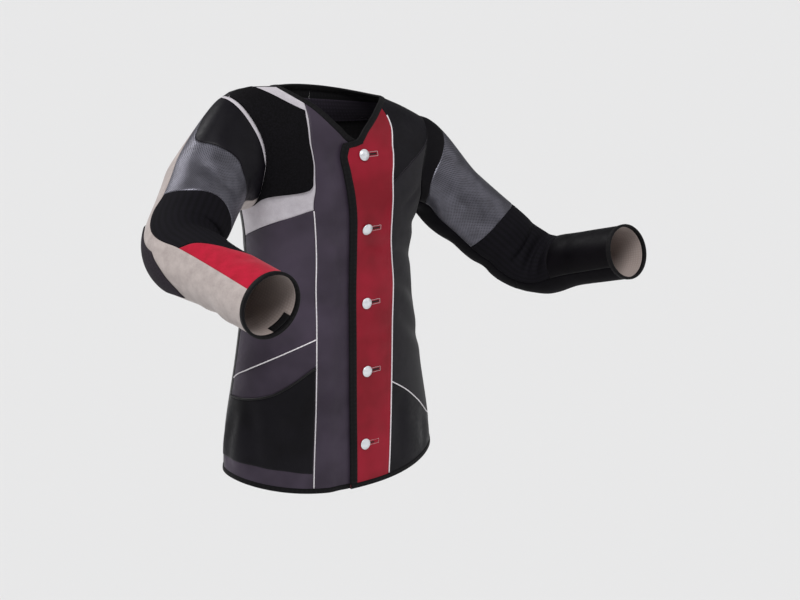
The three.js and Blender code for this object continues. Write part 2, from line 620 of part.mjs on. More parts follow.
// Back, from the left side seam round to the right one.
const BACK_COLUMNS = 10;
const leftEdge = joined(lastColumn(lowGrid), lastColumn(midGrid).slice(0, 9),
  holePoints(left, 200, 360), shoulderPoints(left));
const rightEdge = joined(lastColumn(hipGrid), lastColumn(sideGrid), lastColumn(yokeGrid).slice(0, 2),
  holePoints(right, 200, 360), shoulderPoints(right)).map(([angle, t, edge]) => [angle + 360, t, edge]);
const backHem = spread(leftEdge[0][0], rightEdge[0][0], BACK_COLUMNS).map((angle) => [angle, 0]);
const backNeck = spread(90, 270, BACK_COLUMNS).map((angle) => [angle, 1]);
const backGrid = coons(backHem, backNeck, leftEdge, rightEdge);

const body = {
  centre: settle(centreGrid, onLap),
  hip: settle(hipGrid, onTorso),
  side: settle(sideGrid, onTorso),
  yoke: settle(yokeGrid, onTorso),
  placket: settle(placketGrid, onTorso),
  low: settle(lowGrid, onTorso),
  mid: settle(midGrid, onTorso),
  upper: settle(upperGrid, onTorso),
  back: settle(backGrid, onTorso),
};
const panel = (grid, round) => wall(trimmed(grid, round), -WALL / 2, WALL / 2, round);

add('right_front_centre', panel(body.centre), 'greyLeather');
add('right_front_side', panel(body.side), 'greyLeather');
add('right_front_hip', panel(body.hip), 'greyLeather');
add('right_yoke', panel(body.yoke), 'whiteSuede');
add('left_front_upper', panel(body.upper), 'blackLeather');
add('left_front_middle', panel(body.mid), 'blackSuede');
add('left_front_lower', panel(body.low), 'blackLeather');
const half = (grid, from, to) => grid.map((row) => row.slice(from, to + 1));
add('back_left', panel(half(body.back, 0, BACK_COLUMNS / 2)), 'blackLeather');
add('back_right', panel(half(body.back, BACK_COLUMNS / 2, BACK_COLUMNS)), 'blackLeather');

// ---------------------------------------------------------------- laid on the body
// Part of a grid, with its last columns or rows pulled in by a share of their own cell.
function part(grid, rows, columns, pull = {}) {
  const block = grid.slice(rows[0], rows[1] + 1).map((row) => row.slice(columns[0], columns[1] + 1));
  const mix = (a, b, share) => ({ p: a.p.clone().lerp(b.p, share), n: a.n.clone().lerp(b.n, share) });
  const end = block[0].length - 1;
  const top = block.length - 1;
  if (pull.left) block.forEach((row) => { row[0] = mix(row[0], row[1], pull.left); });
  if (pull.right) block.forEach((row) => { row[end] = mix(row[end], row[end - 1], pull.right); });
  if (pull.bottom) block[0] = block[0].map((spot, i) => mix(spot, block[1][i], pull.bottom));
  if (pull.top) block[top] = block[top].map((spot, i) => mix(spot, block[top - 1][i], pull.top));
  return block;
}
const ON_TOP = WALL / 2 + REST_GAP;
const overlay = (grid, thick, low = ON_TOP) => wall(grid, low, low + thick);

add('right_shoulder_pad', overlay(part(body.yoke, [1, 12], [1, 5]), PAD_THICK, ON_TOP + 0.15), 'gripRubber');
add('right_pocket', overlay(part(body.hip, [2, 6], [0, 6], { left: 0.5, right: 0.08 }), POCKET_THICK),
  'blackLeather');

const facing = part(body.back, [backGrid.length - 4, backGrid.length - 2], [0, BACK_COLUMNS],
  { left: 0.05, right: 0.05, top: 0.04 });
add('back_neck_facing', wall(facing, -ON_TOP - FACING_THICK, -ON_TOP), 'greyLining');

// ---------------------------------------------------------------- bindings
const neckLine = (row) => joined(row(body.placket), row(body.upper), row(body.back),
  backwards(row(body.yoke)), backwards(row(body.centre)));
const hemLine = (row) => joined(body.placket[row], body.low[row], body.back[row], backwards(body.hip[row]),
  backwards(body.centre[row]));
add('neck_binding', binding(neckLine((grid) => last(grid)), neckLine((grid) => grid[grid.length - 2])),
  'blackBinding');
add('hem_binding', binding(hemLine(0), hemLine(1)), 'blackBinding');

// A line of spots with both ends drawn in.
function shortened(line, gap) {
  const copy = [...line];
  const draw = (i, next) => {
    const way = line[next].p.clone().sub(line[i].p).normalize();
    copy[i] = { p: line[i].p.clone().addScaledVector(way, gap), n: line[i].n };
  };
  draw(0, 1);
  draw(line.length - 1, line.length - 2);
  return copy;
}
const frontRows = body.placket.slice(1, -1);
const frontLines = [0, 1].map((i) => shortened(column(frontRows, i), REST_GAP));
add('front_edge_binding', binding(...frontLines), 'blackBinding');

// ---------------------------------------------------------------- pipings
const pipe = (name, line, drawIn = 0.4) => add(name, cordOver(shortened(line, drawIn)), 'whitePiping');
pipe('right_front_piping', [...column(body.hip, 0).slice(1), ...column(body.side, 0).slice(1)], 6);
pipe('left_front_piping', [...column(body.low, 0).slice(1), ...column(body.mid, 0).slice(1),
  ...column(body.upper, 0).slice(1, -1)], 4);
pipe('right_hip_piping', last(body.hip), 2);
pipe('left_curved_piping', last(body.low), 3);

// ---------------------------------------------------------------- buttons and buttonholes
const BUTTONS = seamPoints([[3, 0.924], [2, 0.66], [3, 0.468], [2, 0.3], [0, 0.116]]);
const PROFILE = [
  [0.9, -LAP_DROP + WALL / 2 + 0.4], [0.9, 0], [9, 0], [9.6, 1], [8.5, 2.7], [5.8, 4.2], [2.7, 4.9],
];
function turned(place, profile, top, segments = 12) {
  const corners = profile.flatMap(([radius, height]) => Array.from({ length: segments }, (_, i) => {
    const a = 2 * Math.PI * i / segments;
    return place(radius * Math.cos(a), radius * Math.sin(a), height);
  }));
  const low = corners.push(place(0, 0, profile[0][1])) - 1;
  const high = corners.push(place(0, 0, top)) - 1;
  const triangles = [];
  for (let i = 0; i < segments; i += 1) {
    const n = (i + 1) % segments;
    triangles.push([low, n, i]);
    for (let r = 0; r < profile.length - 1; r += 1) {
      const [a, b] = [r * segments, (r + 1) * segments];
      triangles.push([a + i, a + n, b + n], [a + i, b + n, b + i]);
    }
    triangles.push([high, (profile.length - 1) * segments + i, (profile.length - 1) * segments + n]);
  }
  return solid(corners, outwards(corners, triangles));
}
const BUTTONHOLE = { before: 3, after: 26, height: 2.8, depth: 12 };
const kernel = await Module();
kernel.setup();
function asSolid(geometry) {
  const bare = new THREE.BufferGeometry().setAttribute('position', geometry.getAttribute('position'));
  const merged = mergeVertices(bare, 1e-3);
  return new kernel.Manifold(new kernel.Mesh({
    numProp: 3,
    vertProperties: merged.attributes.position.array,
    triVerts: new Uint32Array(merged.index.array),
  }));
}
function asGeometry(cut) {
  const { vertProperties, triVerts } = cut.getMesh();
  const indexed = new THREE.BufferGeometry();
  indexed.setAttribute('position', new THREE.BufferAttribute(vertProperties, 3));
  indexed.setIndex(new THREE.BufferAttribute(triVerts, 1));
  const flat = indexed.toNonIndexed();
  flat.computeVertexNormals();
  return flat;
}
let placket = asSolid(panel(body.placket));
BUTTONS.forEach(({ angle, t }, i) => {
  const { p, n } = onTorso(angle, t);
  const sideways = new THREE.Vector3(0, 0, 1).cross(n).normalize();
  const upwards = n.clone().cross(sideways);
  const seat = WALL / 2 + 0.8;
  const place = (a, b, height) => p.clone().addScaledVector(sideways, a).addScaledVector(upwards, b)
    .addScaledVector(n, seat + height);
  const { before, after, height, depth } = BUTTONHOLE;
  const middle = p.clone().addScaledVector(sideways, (after - before) / 2);
  const hole = kernel.Manifold.cube([before + after, height, depth], true)
    .transform(new THREE.Matrix4().makeBasis(sideways, upwards, n).setPosition(middle).toArray());
  placket = placket.subtract(hole);
  add(`button_${i + 1}`, turned(place, PROFILE.map(([r, z]) => [r, z < 0 ? z - seat : z]), 5.1), 'button');
});
add('left_front_placket', asGeometry(placket), 'redLeather');

// ---------------------------------------------------------------- sleeve pieces
const sleevePoints = (rows) => rows.map(([k, s]) => ({ k, s }));
const boundary = (rows) => {
  const list = sleevePoints(rows);
  return (s) => [along(list, 'k', s, 's'), s];
};
const crossing = (rows) => {
  const list = sleevePoints(rows);
  return (k) => [k, along(list, 's', k, 'k')];
};
const FRONT_COLUMNS = 8;   // from the seam behind the arm, over its outside, to the one under it
const UNDER_COLUMNS = 10;

// The two long seams as angles over s, the cross seams as s over the angle, and the rows between them.
const SLEEVES = {
  right: {
    behind: boundary([[-20, 0], [-20, 0.08], [-20, 0.345], [-31, 0.41], [-28, 0.48], [-17, 0.57],
      [-14, 0.635], [-14, 0.83], [-16, 1]]),
    under: boundary([[140, 0], [138, 0.2], [140, 0.4], [140, 0.7], [136, 1]]),
    seams: [
      crossing([[-20, 0.04], [-12, 0.08], [0, 0.128], [32, 0.13], [64, 0.125], [84, 0.145], [140, 0.18]]),
      crossing([[-20, 0.345], [18, 0.338], [52, 0.315], [72, 0.313], [100, 0.328], [140, 0.35]]),
      crossing([[-14, 0.635], [8, 0.665], [28, 0.725], [44, 0.785], [70, 0.83], [100, 0.85], [140, 0.86]]),
    ],
    counts: [2, 2, 7, 3],
    pieces: [['right_sleeve_cap', 'blackLeather'], ['right_sleeve_band', 'silverMesh'],
      ['right_sleeve_elbow', 'stretchCloth'], ['right_forearm_top', 'redSuede']],
    lower: ['right_sleeve_under', 'right_forearm_under', 6, 'beigeSuede'],
  },
  left: {
    behind: boundary([[-20, 0], [-20, 1]]),
    under: boundary([[140, 0], [134, 0.1], [134, 0.2], [142, 0.34], [140, 0.7], [136, 1]]),
    seams: [
      crossing([[-20, 0.06], [20, 0.06], [50, 0.056], [76, 0.042], [140, 0.028]]),
      crossing([[-20, 0.34], [21, 0.33], [62, 0.315], [98, 0.308], [140, 0.3]]),
      crossing([[-20, 0.66], [60, 0.66], [140, 0.66]]),
    ],
    counts: [1, 3, 7, 3],
    pieces: [['left_sleeve_cap', 'blackLeather'], ['left_sleeve_band', 'silverMesh'],
      ['left_sleeve_elbow', 'stretchCloth'], ['left_forearm', 'blackLeather']],
    lower: ['left_sleeve_under', 'left_forearm_under', 7, 'blackSuede'],
  },
};

for (const [name, plan] of Object.entries(SLEEVES)) {
  const arm = ARMS[name];
  const place = onSleeve(arm);
  const cut = (i) => {
    if (i === 0) return () => 0;
    if (i === plan.seams.length + 1) return () => 1;
    return (k) => plan.seams[i - 1](k)[1];
  };
  // A cross seam from the long seam behind the arm to the one under it.
  const crossLine = (i) => {
    const start = plan.behind(cut(i)(-20));
    const end = plan.under(cut(i)(140));
    return spread(0, 1, FRONT_COLUMNS).map((share, c) => {
      const k = lerp(start[0], end[0], share);
      if (c === 0) return start;
      if (c === FRONT_COLUMNS) return end;
      return [k, cut(i)(k)];
    });
  };
  const lines = [0, 1, 2, 3, 4].map(crossLine);
  const uppers = plan.pieces.map(([piece, kind], i) => {
    const count = plan.counts[i];
    const isCuff = i === plan.pieces.length - 1;
    const steps = (from, to) => (isCuff
      ? [...spread(from, 1 - BINDING.cuff, count - 1), 1] : spread(from, to, count));
    const behind = steps(lines[i][0][1], lines[i + 1][0][1]).map(plan.behind);
    const under = steps(last(lines[i])[1], last(lines[i + 1])[1]).map(plan.under);
    const grid = settle(coons(lines[i], lines[i + 1], behind, under), place);
    add(piece, panel(grid), kind);
    return { behind, under, grid };
  });
  const behind = joined(...uppers.map((u) => u.behind)).map(([k, s]) => [k + 360, s]);
  const under = joined(...uppers.map((u) => u.under));
  const ends = [0, 1].map((s) => spread(under[s * (under.length - 1)][0], behind[s * (behind.length - 1)][0],
    UNDER_COLUMNS).map((k) => [k, s]));
  const lower = settle(coons(ends[0], ends[1], under, behind), place);
  const [upperArm, forearm, elbowRow, lowerKind] = plan.lower;
  add(upperArm, panel(lower.slice(0, elbowRow + 1)), lowerKind);
  add(forearm, panel(lower.slice(elbowRow)), lowerKind);

  // The whole sleeve's rows round the cuff, for its binding and lining.
  const front = last(uppers).grid;
  const ring = (back) => [front, lower].flatMap((grid) => grid[grid.length - 1 - back].slice(0, -1));
  add(`${name}_cuff_binding`, binding(ring(0), ring(1), true), 'blackBinding');
  const lining = part([ring(3), ring(2), ring(1)], [0, 2], [0, ring(0).length - 1], { top: 0.006 });
  add(`${name}_cuff_lining`, wall(lining, -ON_TOP - LINING_THICK, -ON_TOP, true), 'creamLining');
  plan.outer = uppers[0].grid;
  plan.grids = [lower, lining];
}

// ---------------------------------------------------------------- laid on the right sleeve
const [underGrid, liningGrid] = SLEEVES.right.grids;
add('right_armhole_band', overlay(part(SLEEVES.right.outer, [0, 1], [1, 6], { right: 0.2, bottom: 0.03,
  top: 0.7 }), 1), 'whiteSuede');
add('right_elbow_pad', overlay(part(underGrid, [6, 10], [6, 9]), PAD_THICK - 0.8),
  'gripRubber');
const TAB_BACK = -ON_TOP - LINING_THICK - REST_GAP;
const tabGrid = part(liningGrid, [1, 2], [10, 11], { bottom: 0.6, top: 0.05 });
add('right_cuff_tab', wall(tabGrid, TAB_BACK - 1, TAB_BACK), 'blackBinding');

export default jacket;
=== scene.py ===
# %% [markdown]
# # A shooting jacket
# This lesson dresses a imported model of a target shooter's jacket: stiff leather and suede panels, sewn
# along piped seams, filled out as if worn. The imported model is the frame. Each panel is made again here as
# a thin wall on the same smooth surface, fine enough to carry creases, rolled seam edges and a grain.

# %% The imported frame
import math

import bmesh
import bpy
import numpy as np
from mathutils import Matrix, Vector


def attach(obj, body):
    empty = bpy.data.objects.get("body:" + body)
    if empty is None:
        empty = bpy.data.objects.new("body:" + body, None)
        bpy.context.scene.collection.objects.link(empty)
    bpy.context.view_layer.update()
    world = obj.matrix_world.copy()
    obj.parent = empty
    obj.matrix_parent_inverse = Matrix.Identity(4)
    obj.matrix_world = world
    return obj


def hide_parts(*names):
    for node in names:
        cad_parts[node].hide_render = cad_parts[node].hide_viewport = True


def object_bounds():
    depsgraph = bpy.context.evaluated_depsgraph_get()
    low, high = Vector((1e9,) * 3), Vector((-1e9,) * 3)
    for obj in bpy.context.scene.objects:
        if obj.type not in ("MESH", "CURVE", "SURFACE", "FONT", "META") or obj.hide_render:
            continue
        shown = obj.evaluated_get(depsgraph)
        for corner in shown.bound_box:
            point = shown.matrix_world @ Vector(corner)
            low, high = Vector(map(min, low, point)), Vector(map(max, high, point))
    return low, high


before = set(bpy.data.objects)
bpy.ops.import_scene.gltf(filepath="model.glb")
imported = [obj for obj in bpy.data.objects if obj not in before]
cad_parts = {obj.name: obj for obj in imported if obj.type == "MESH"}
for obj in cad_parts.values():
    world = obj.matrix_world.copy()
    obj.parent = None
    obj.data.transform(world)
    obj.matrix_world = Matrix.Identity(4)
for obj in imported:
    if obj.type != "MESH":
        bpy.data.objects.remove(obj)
CAD_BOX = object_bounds()
print("nodes in the frame:", len(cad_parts))

# %% [markdown]
# ## The body's surface
# A tailor thinks of the body of a jacket as rings: hem, hip, waist, chest, shoulder and neck. The table
# holds each ring's heights and depths in millimetres, and a smooth curve through its rows gives every
# height between. Points on it are named by their angle round the body (0 is the centre front) and by t,
# from hem to neck.

# %% Rings from hem to neck
def table(names, rows):
    return dict(zip(names.split(), np.array(rows, float).T))


RINGS = table("t front_z side_z back_z half_width front_depth back_depth centre_y front_power front_rise", [
    [0.00, -664, -638, -650, 201, 116, 118, 6, 2.25, 2.00],
    [0.10, -600, -580, -588, 197, 114, 118, 6, 2.20, 2.00],
    [0.24, -503, -492, -496, 181, 108, 114, 4, 2.20, 2.00],
    [0.38, -405, -398, -402, 165, 103, 110, 2, 2.20, 2.00],
    [0.50, -320, -314, -318, 154, 99, 107, 0, 2.20, 2.00],
    [0.60, -252, -246, -250, 152, 99, 108, -3, 2.20, 2.00],
    [0.69, -196, -188, -186, 164, 102, 110, -6, 2.25, 2.00],
    [0.78, -156, -130, -132, 186, 101, 106, -8, 2.25, 2.00],
    [0.86, -122, -72, -88, 200, 94, 98, -10, 2.20, 2.00],
    [0.91, -98, -36, -54, 194, 86, 86, -12, 2.05, 1.90],
    [0.95, -77, -16, -28, 155, 80, 74, -14, 1.75, 1.60],
    [1.00, -46, 2, 10, 99, 73, 64, -16, 1.30, 1.35],
])
BACK_POWER = 2.15
ROUND = np.linspace(0, 360, 48, endpoint=False)     # even angles round a circle
LEAN_SLOPE, LEAN_FROM, LEAN_TO = 0.123, -360, -40          # the shoulder line's tilt
SHRUG_HEIGHT, SHRUG_FROM, SHRUG_TO, SHRUG_LOW, SHRUG_HIGH = 20, 60, 185, -330, -110


def ease(x):
    x = np.clip(x, 0, 1)
    return x * x * (3 - 2 * x)


def along(columns, name, x, by="t"):
    """A smooth curve through one column of a table."""
    xs, ys = columns[by], columns[name]
    slope = np.empty_like(ys)
    slope[1:-1] = (ys[2:] - ys[:-2]) / (xs[2:] - xs[:-2])
    slope[0] = (ys[1] - ys[0]) / (xs[1] - xs[0])
    slope[-1] = (ys[-1] - ys[-2]) / (xs[-1] - xs[-2])
    i = np.clip(np.searchsorted(xs, x, side="right") - 1, 0, len(xs) - 2)
    h = xs[i + 1] - xs[i]
    u = (x - xs[i]) / h
    return (ys[i] * (2 * u**3 - 3 * u**2 + 1) + slope[i] * h * (u**3 - 2 * u**2 + u)
            + ys[i + 1] * (3 * u**2 - 2 * u**3) + slope[i + 1] * h * (u**3 - u**2))


def torso(angle, t):
    angle, t = np.broadcast_arrays(np.asarray(angle, float), np.asarray(t, float))
    sine, cosine = np.sin(np.radians(angle)), np.cos(np.radians(angle))
    ring = {name: along(RINGS, name, t) for name in RINGS if name != "t"}
    front = cosine >= 0
    exponent = 2 / np.where(front, ring["front_power"], BACK_POWER)
    x = ring["half_width"] * np.sign(sine) * np.abs(sine) ** exponent
    depth = np.where(front, -ring["front_depth"], ring["back_depth"])
    y = ring["centre_y"] + depth * np.abs(cosine) ** exponent
    low = np.where(front, ring["front_z"], ring["back_z"])
    level = low + (ring["side_z"] - low) * np.abs(sine) ** np.where(front, ring["front_rise"], 2)
    shrug = (SHRUG_HEIGHT * ease((-x - SHRUG_FROM) / (SHRUG_TO - SHRUG_FROM))
             * ease((level - SHRUG_LOW) / (SHRUG_HIGH - SHRUG_LOW)))
    z = level + shrug
    z = z - x * LEAN_SLOPE * ease((z - LEAN_FROM) / (LEAN_TO - LEAN_FROM))
    return np.stack([x, y, z], -1)


HEM_ROW, WAIST_ROW = 0, 5
hem_width, waist_width = (2 * RINGS["half_width"][row] for row in (HEM_ROW, WAIST_ROW))
print("hem width", round(hem_width), "mm, waist width", round(waist_width), "mm")

# %% [markdown]
# ## The sleeves' surface
# A sleeve starts on the armhole, an oval drawn on the body, and blends into a tube that runs straight down
# the upper arm, round the elbow on an arc, and straight along the forearm. Points on it are named by k, the
# angle round the armhole (0 top, 90 front, 180 underarm, 270 back), and by s, from the armhole to the cuff.

# %% Arms and their folds
SECTIONS = table("s outer inner side", [
    [0.00, 70, 70, 66], [0.14, 66, 66, 63], [0.28, 62, 62, 60], [0.42, 61, 60, 59], [0.50, 61, 58, 58],
    [0.58, 57, 53, 54], [0.72, 48, 46, 47], [0.86, 47, 46, 46], [1.00, 46, 46, 46],
])
VALLEY_S, VALLEY_SPREAD = 0.55, 0.1
ELBOW_S, FOREARM_EASE = 0.5, 0.22      # the elbow, and how far past it the forearm has its full size
LEAVE_STEP = 0.01
ARMS = {
    "left": dict(side=1, upper=(0.9, -0.52, -0.856), fore=(0.072, -0.965, 0.276), upper_length=291,
                 fore_length=228, bend=72, root=(0, 0, 0), head=105, valley=0.42, forearm=0.965,
                 top=0.925, bottom=0.68, front=46, back=30, skew=0.16,
                 folds=[(0.435, 62, 5.0, 0.022, 46), (0.525, 50, 6.0, 0.020, 52), (0.585, 66, 3.5, 0.018, 40),
                        (0.380, 150, 3.0, 0.026, 40)]),
    "right": dict(side=-1, upper=(-0.455, -0.38, -0.417), fore=(0.095, -0.995, -0.156), upper_length=212,
                  fore_length=235, bend=72, root=(-42, 0, 6), head=80, valley=0.04, forearm=1.035,
                  top=0.91, bottom=0.68, front=34, back=30, skew=0.32,
                  folds=[(0.455, 118, 5.0, 0.024, 46), (0.540, 112, 5.5, 0.022, 50),
                         (0.390, 150, 3.0, 0.026, 38)]),
}


def unit(v):
    return v / np.linalg.norm(v, axis=-1, keepdims=True)


def armhole_at(arm, k):
    sine, cosine = np.sin(np.radians(k)), np.cos(np.radians(k))
    reach = np.where(sine > 0, arm["front"], arm["back"]) * np.abs(sine) ** 0.75 * (1 + arm["skew"] * cosine)
    t = (arm["top"] + arm["bottom"]) / 2 + (arm["top"] - arm["bottom"]) / 2 * cosine
    return arm["side"] * (90 - np.sign(sine) * reach), t


def axis_at(arm, distance):
    """The arm's centre, outward direction at the elbow's outside, and the direction across both."""
    distance = np.asarray(distance, float)[..., None]
    swing = np.clip((distance - arm["bend_from"]) / arm["bend"], 0, arm["turn"])
    direction = arm["u"] * np.cos(swing) + arm["inward"] * np.sin(swing)
    outward = -arm["inward"] * np.cos(swing) + arm["u"] * np.sin(swing)
    centre = arm["pivot"] + outward * arm["bend"]
    centre = centre + arm["u"] * np.minimum(distance - arm["bend_from"], 0)
    centre = centre + arm["f"] * np.maximum(distance - arm["bend_to"], 0)
    return centre, outward, np.cross(direction, outward)


def settle_arm(arm):
    loop = torso(*armhole_at(arm, ROUND))
    arm["start"] = loop.mean(0) + np.array(arm["root"], float)
    arm["u"], arm["f"] = unit(np.array(arm["upper"])), unit(np.array(arm["fore"], float))
    arm["turn"] = math.acos(arm["u"] @ arm["f"])
    arm["inward"] = unit(arm["f"] - arm["u"] * (arm["f"] @ arm["u"]))
    cut = arm["bend"] * math.tan(arm["turn"] / 2)
    arm["bend_from"] = arm["upper_length"] - cut
    arm["bend_to"] = arm["bend_from"] + arm["bend"] * arm["turn"]
    arm["length"] = arm["bend_to"] + arm["fore_length"] - cut
    arm["pivot"] = arm["start"] + arm["u"] * arm["bend_from"] + arm["inward"] * arm["bend"]
    centre, outward, across = axis_at(arm, 0)
    d = loop - centre
    angles = np.degrees(np.unwrap(np.arctan2(d @ across, d @ outward)))
    arm["sense"] = np.sign(angles[-1] - angles[0])
    arm["offset"] = np.mean(angles - arm["sense"] * ROUND)


def tube(arm, k, s):
    elbow = (arm["bend_from"] + arm["bend_to"]) / 2
    below = (s - ELBOW_S) / (1 - ELBOW_S)
    distance = np.where(s < ELBOW_S, s / ELBOW_S * elbow, elbow + below * (arm["length"] - elbow))
    centre, outward, across = axis_at(arm, distance)
    psi = np.radians(arm["sense"] * k + arm["offset"])
    cosine = np.cos(psi)
    fold = 0
    for fold_s, fold_k, depth, length, width in arm["folds"]:
        round_k = (k - fold_k + 540) % 360 - 180
        fold = fold + depth * np.exp(-(((s - fold_s) / length) ** 2) - (round_k / width) ** 2)
    full = 1 + (arm["forearm"] - 1) * ease((s - ELBOW_S) / FOREARM_EASE)
    sizes = {name: along(SECTIONS, name, s, "s") * full for name in ("outer", "inner", "side")}
    sunk = 1 - arm["valley"] * np.exp(-(((s - VALLEY_S) / VALLEY_SPREAD) ** 2))
    reach = np.where(cosine > 0, sizes["outer"], sizes["inner"] * sunk)
    return (centre + outward * ((reach - fold) * cosine)[..., None]
            + across * ((sizes["side"] - fold) * np.sin(psi))[..., None])


def sleeve(arm, k, s):
    k, s = np.broadcast_arrays(np.asarray(k, float), np.asarray(s, float))
    head = arm["head"] / (arm["bend_from"] + arm["bend_to"])
    plain = tube(arm, k, np.maximum(s, head))
    u = np.clip(s / head, 0, 1)[..., None]
    end = tube(arm, k, np.full_like(s, head))
    leave = (tube(arm, k, np.full_like(s, head + LEAVE_STEP)) - end) * (head / LEAVE_STEP)
    cosine = np.cos(np.radians(k))
    top, under = np.maximum(cosine, 0), np.maximum(-cosine, 0)
    tilt = np.stack([arm["side"] * (0.75 * top + 1.1 * under), 0 * top, 0.55 * top], -1)
    begin = unit(arm["u"] + tilt) * arm["head"]
    blend = (torso(*armhole_at(arm, k)) * (2 * u**3 - 3 * u**2 + 1) + begin * (u**3 - 2 * u**2 + u)
             + end * (3 * u**2 - 2 * u**3) + leave * (u**3 - u**2))
    return np.where((s >= head)[..., None], plain, blend)


for arm in ARMS.values():
    settle_arm(arm)
    print("an arm's length along its middle:", round(arm["length"]), "mm")

# %% [markdown]
# ## Cloth as a thin wall
# A panel is a patch of one of those surfaces between four seams. Its wall is two skins a leather's
# thickness apart, joined at the rim. Where a panel is turned into a seam its edge rolls inwards, so the
# rows of points crowd together near the rim. Creases are added as soft troughs with a ridge on each side.

# %% Points and normals on a surface
MM = 0.001
BODY_SCALE = (2.6, 650.0)      # millimetres to one degree and to the whole of t
SLEEVE_SCALE = (1.02, 450.0)
LAP_DROP, LAP_FROM, LAP_TO = 4.8, -19, -11
RIDGE_AT, RIDGE_SHARE, CREASE_FADE = 2.1, 0.45, 0.7     # beside a crease, in widths; in depths; at its ends


def normal_of(surface, a, b, step_a, step_b):
    low, high = np.clip(b - step_b, 0, 1), np.clip(b + step_b, 0, 1)
    return unit(np.cross(surface(a + step_a, b) - surface(a - step_a, b), surface(a, high) - surface(a, low)))


def on_body(a, b):
    return torso(a, b), normal_of(torso, a, b, 1.5, 0.005)


def on_lap(a, b):
    """The right front, which sinks under the left one where they lap."""
    p, n = on_body(a, b)
    return p - n * (LAP_DROP * ease((a - LAP_FROM) / (LAP_TO - LAP_FROM)))[..., None], n


def on_sleeve(name):
    arm = ARMS[name]

    def surface(a, b):
        return sleeve(arm, a, b)
    return lambda a, b: (surface(a, b), normal_of(surface, a, b, 3, 0.004) * arm["side"])


def creases(a, b, rows, scale):
    """Troughs from one point to another, each with its depth, width and bow in millimetres."""
    x, y = a * scale[0], b * scale[1]
    height = np.zeros_like(x)
    for a0, b0, a1, b1, depth, width, bow in rows:
        start = np.array([a0 * scale[0], b0 * scale[1]])
        way = np.array([a1 * scale[0], b1 * scale[1]]) - start
        length = np.hypot(*way)
        way = way / length
        dx, dy = x - start[0], y - start[1]
        u = (dx * way[0] + dy * way[1]) / length
        d = (-dx * way[1] + dy * way[0] - bow * np.sin(np.pi * np.clip(u, 0, 1))) / width
        fade = np.where((u > 0) & (u < 1), np.sin(np.pi * np.clip(u, 0, 1)) ** CREASE_FADE, 0)
        height += depth * fade * (RIDGE_SHARE * np.exp(-((np.abs(d) - RIDGE_AT) ** 2)) - np.exp(-d * d))
    return height


# %% Rows of points that crowd towards a rim
RIM = np.array([0.0, 0.5, 1.2, 2.2, 3.8])      # millimetres in from an edge
LEAST_STEP = 0.25


def stations(length, step):
    """Shares along a length, close together at both ends."""
    inner = np.linspace(RIM[-1] + step / 2, length - RIM[-1] - step / 2,
                        max(int((length - 2 * RIM[-1]) / step), 2))
    line = np.unique(np.round(np.concatenate([RIM, inner, length - RIM]), 3))
    line = line[line <= length]
    keep = np.concatenate([[True], np.diff(line) > LEAST_STEP])
    keep[-1] = True
    return line[keep] / length


# %% [markdown]
# ## Patterns for the cut pieces
# The seams are short tables too. On the body a seam is an angle for each t, or a t for each angle; on a
# sleeve it is k and s. A piece lies between four of these edges, and every point inside it is found from
# them by a Coons patch, which bends a flat sheet until its rim lies on all four.

# %% Edges and patches
class Edge:
    """A curve between named stops, read from 0 to 1 with equal shares from stop to stop."""

    def __init__(self, curve, stops, scale=BODY_SCALE):
        self.curve, self.stops = curve, np.array(stops, float)
        self.xs = np.linspace(0, 1, 241)
        steps = np.hypot(*(np.diff(self(self.xs), axis=0) * scale).T)
        self.passed = np.concatenate([[0], np.cumsum(steps)]) / steps.sum()

    def __call__(self, x):
        return self.curve(np.interp(np.asarray(x, float) * (len(self.stops) - 1), np.arange(len(self.stops)),
                                    self.stops))

    def share(self, x):
        return np.interp(x, self.xs, self.passed)


class Patch:
    def __init__(self, bottom, top, left, right, keep=None):
        self.edges, self.keep = (bottom, top, left, right), keep

    def __call__(self, x, y):
        bottom, top, left, right = self.edges
        u = ((bottom.share(x) + top.share(x)) / 2)[..., None]
        v = ((left.share(y) + right.share(y)) / 2)[..., None]
        inside = ((1 - v) * bottom(x) + v * top(x) + (1 - u) * left(y) + u * right(y)
                  - (1 - u) * (1 - v) * bottom(0) - u * (1 - v) * bottom(1)
                  - (1 - u) * v * top(0) - u * v * top(1))
        return inside if self.keep is None else self.keep(inside, u[..., 0])

    def places(self, shares, ends):
        """Where along two edges the cloth has come by each share of its length."""
        first, second = self.edges[ends], self.edges[ends + 1]
        return np.interp(shares, (first.passed + second.passed) / 2, first.xs)

    def size(self, place):
        def length(x, y):
            points = place(*np.moveaxis(self(x, y), -1, 0))[0]
            return np.linalg.norm(np.diff(points, axis=0), axis=1).sum()
        line, middle = np.linspace(0.001, 0.999, 60), np.full(60, 0.5)
        return length(line, middle), length(middle, line)

    def grid(self, place, step, part=(0, 1, 0, 1)):
        width, height = self.size(place)
        x0, x1, y0, y1 = part
        across = stations(width * (x1 - x0), step) * (x1 - x0) + x0
        upward = stations(height * (y1 - y0), step) * (y1 - y0) + y0
        x, y = np.meshgrid(self.places(across, 0), self.places(upward, 2))
        return self(x, y)


def angle_over_t(rows):
    seam_table = table("angle t", rows)
    return lambda t: np.stack([along(seam_table, "angle", t), np.asarray(t, float)], -1)


def t_over_angle(rows):
    seam_table = table("angle t", sorted(rows))
    return lambda angle: along(seam_table, "t", angle, "angle")


SPLIT = [0, 0.07, 0.27, 0.48, 0.7, 0.93, 1]


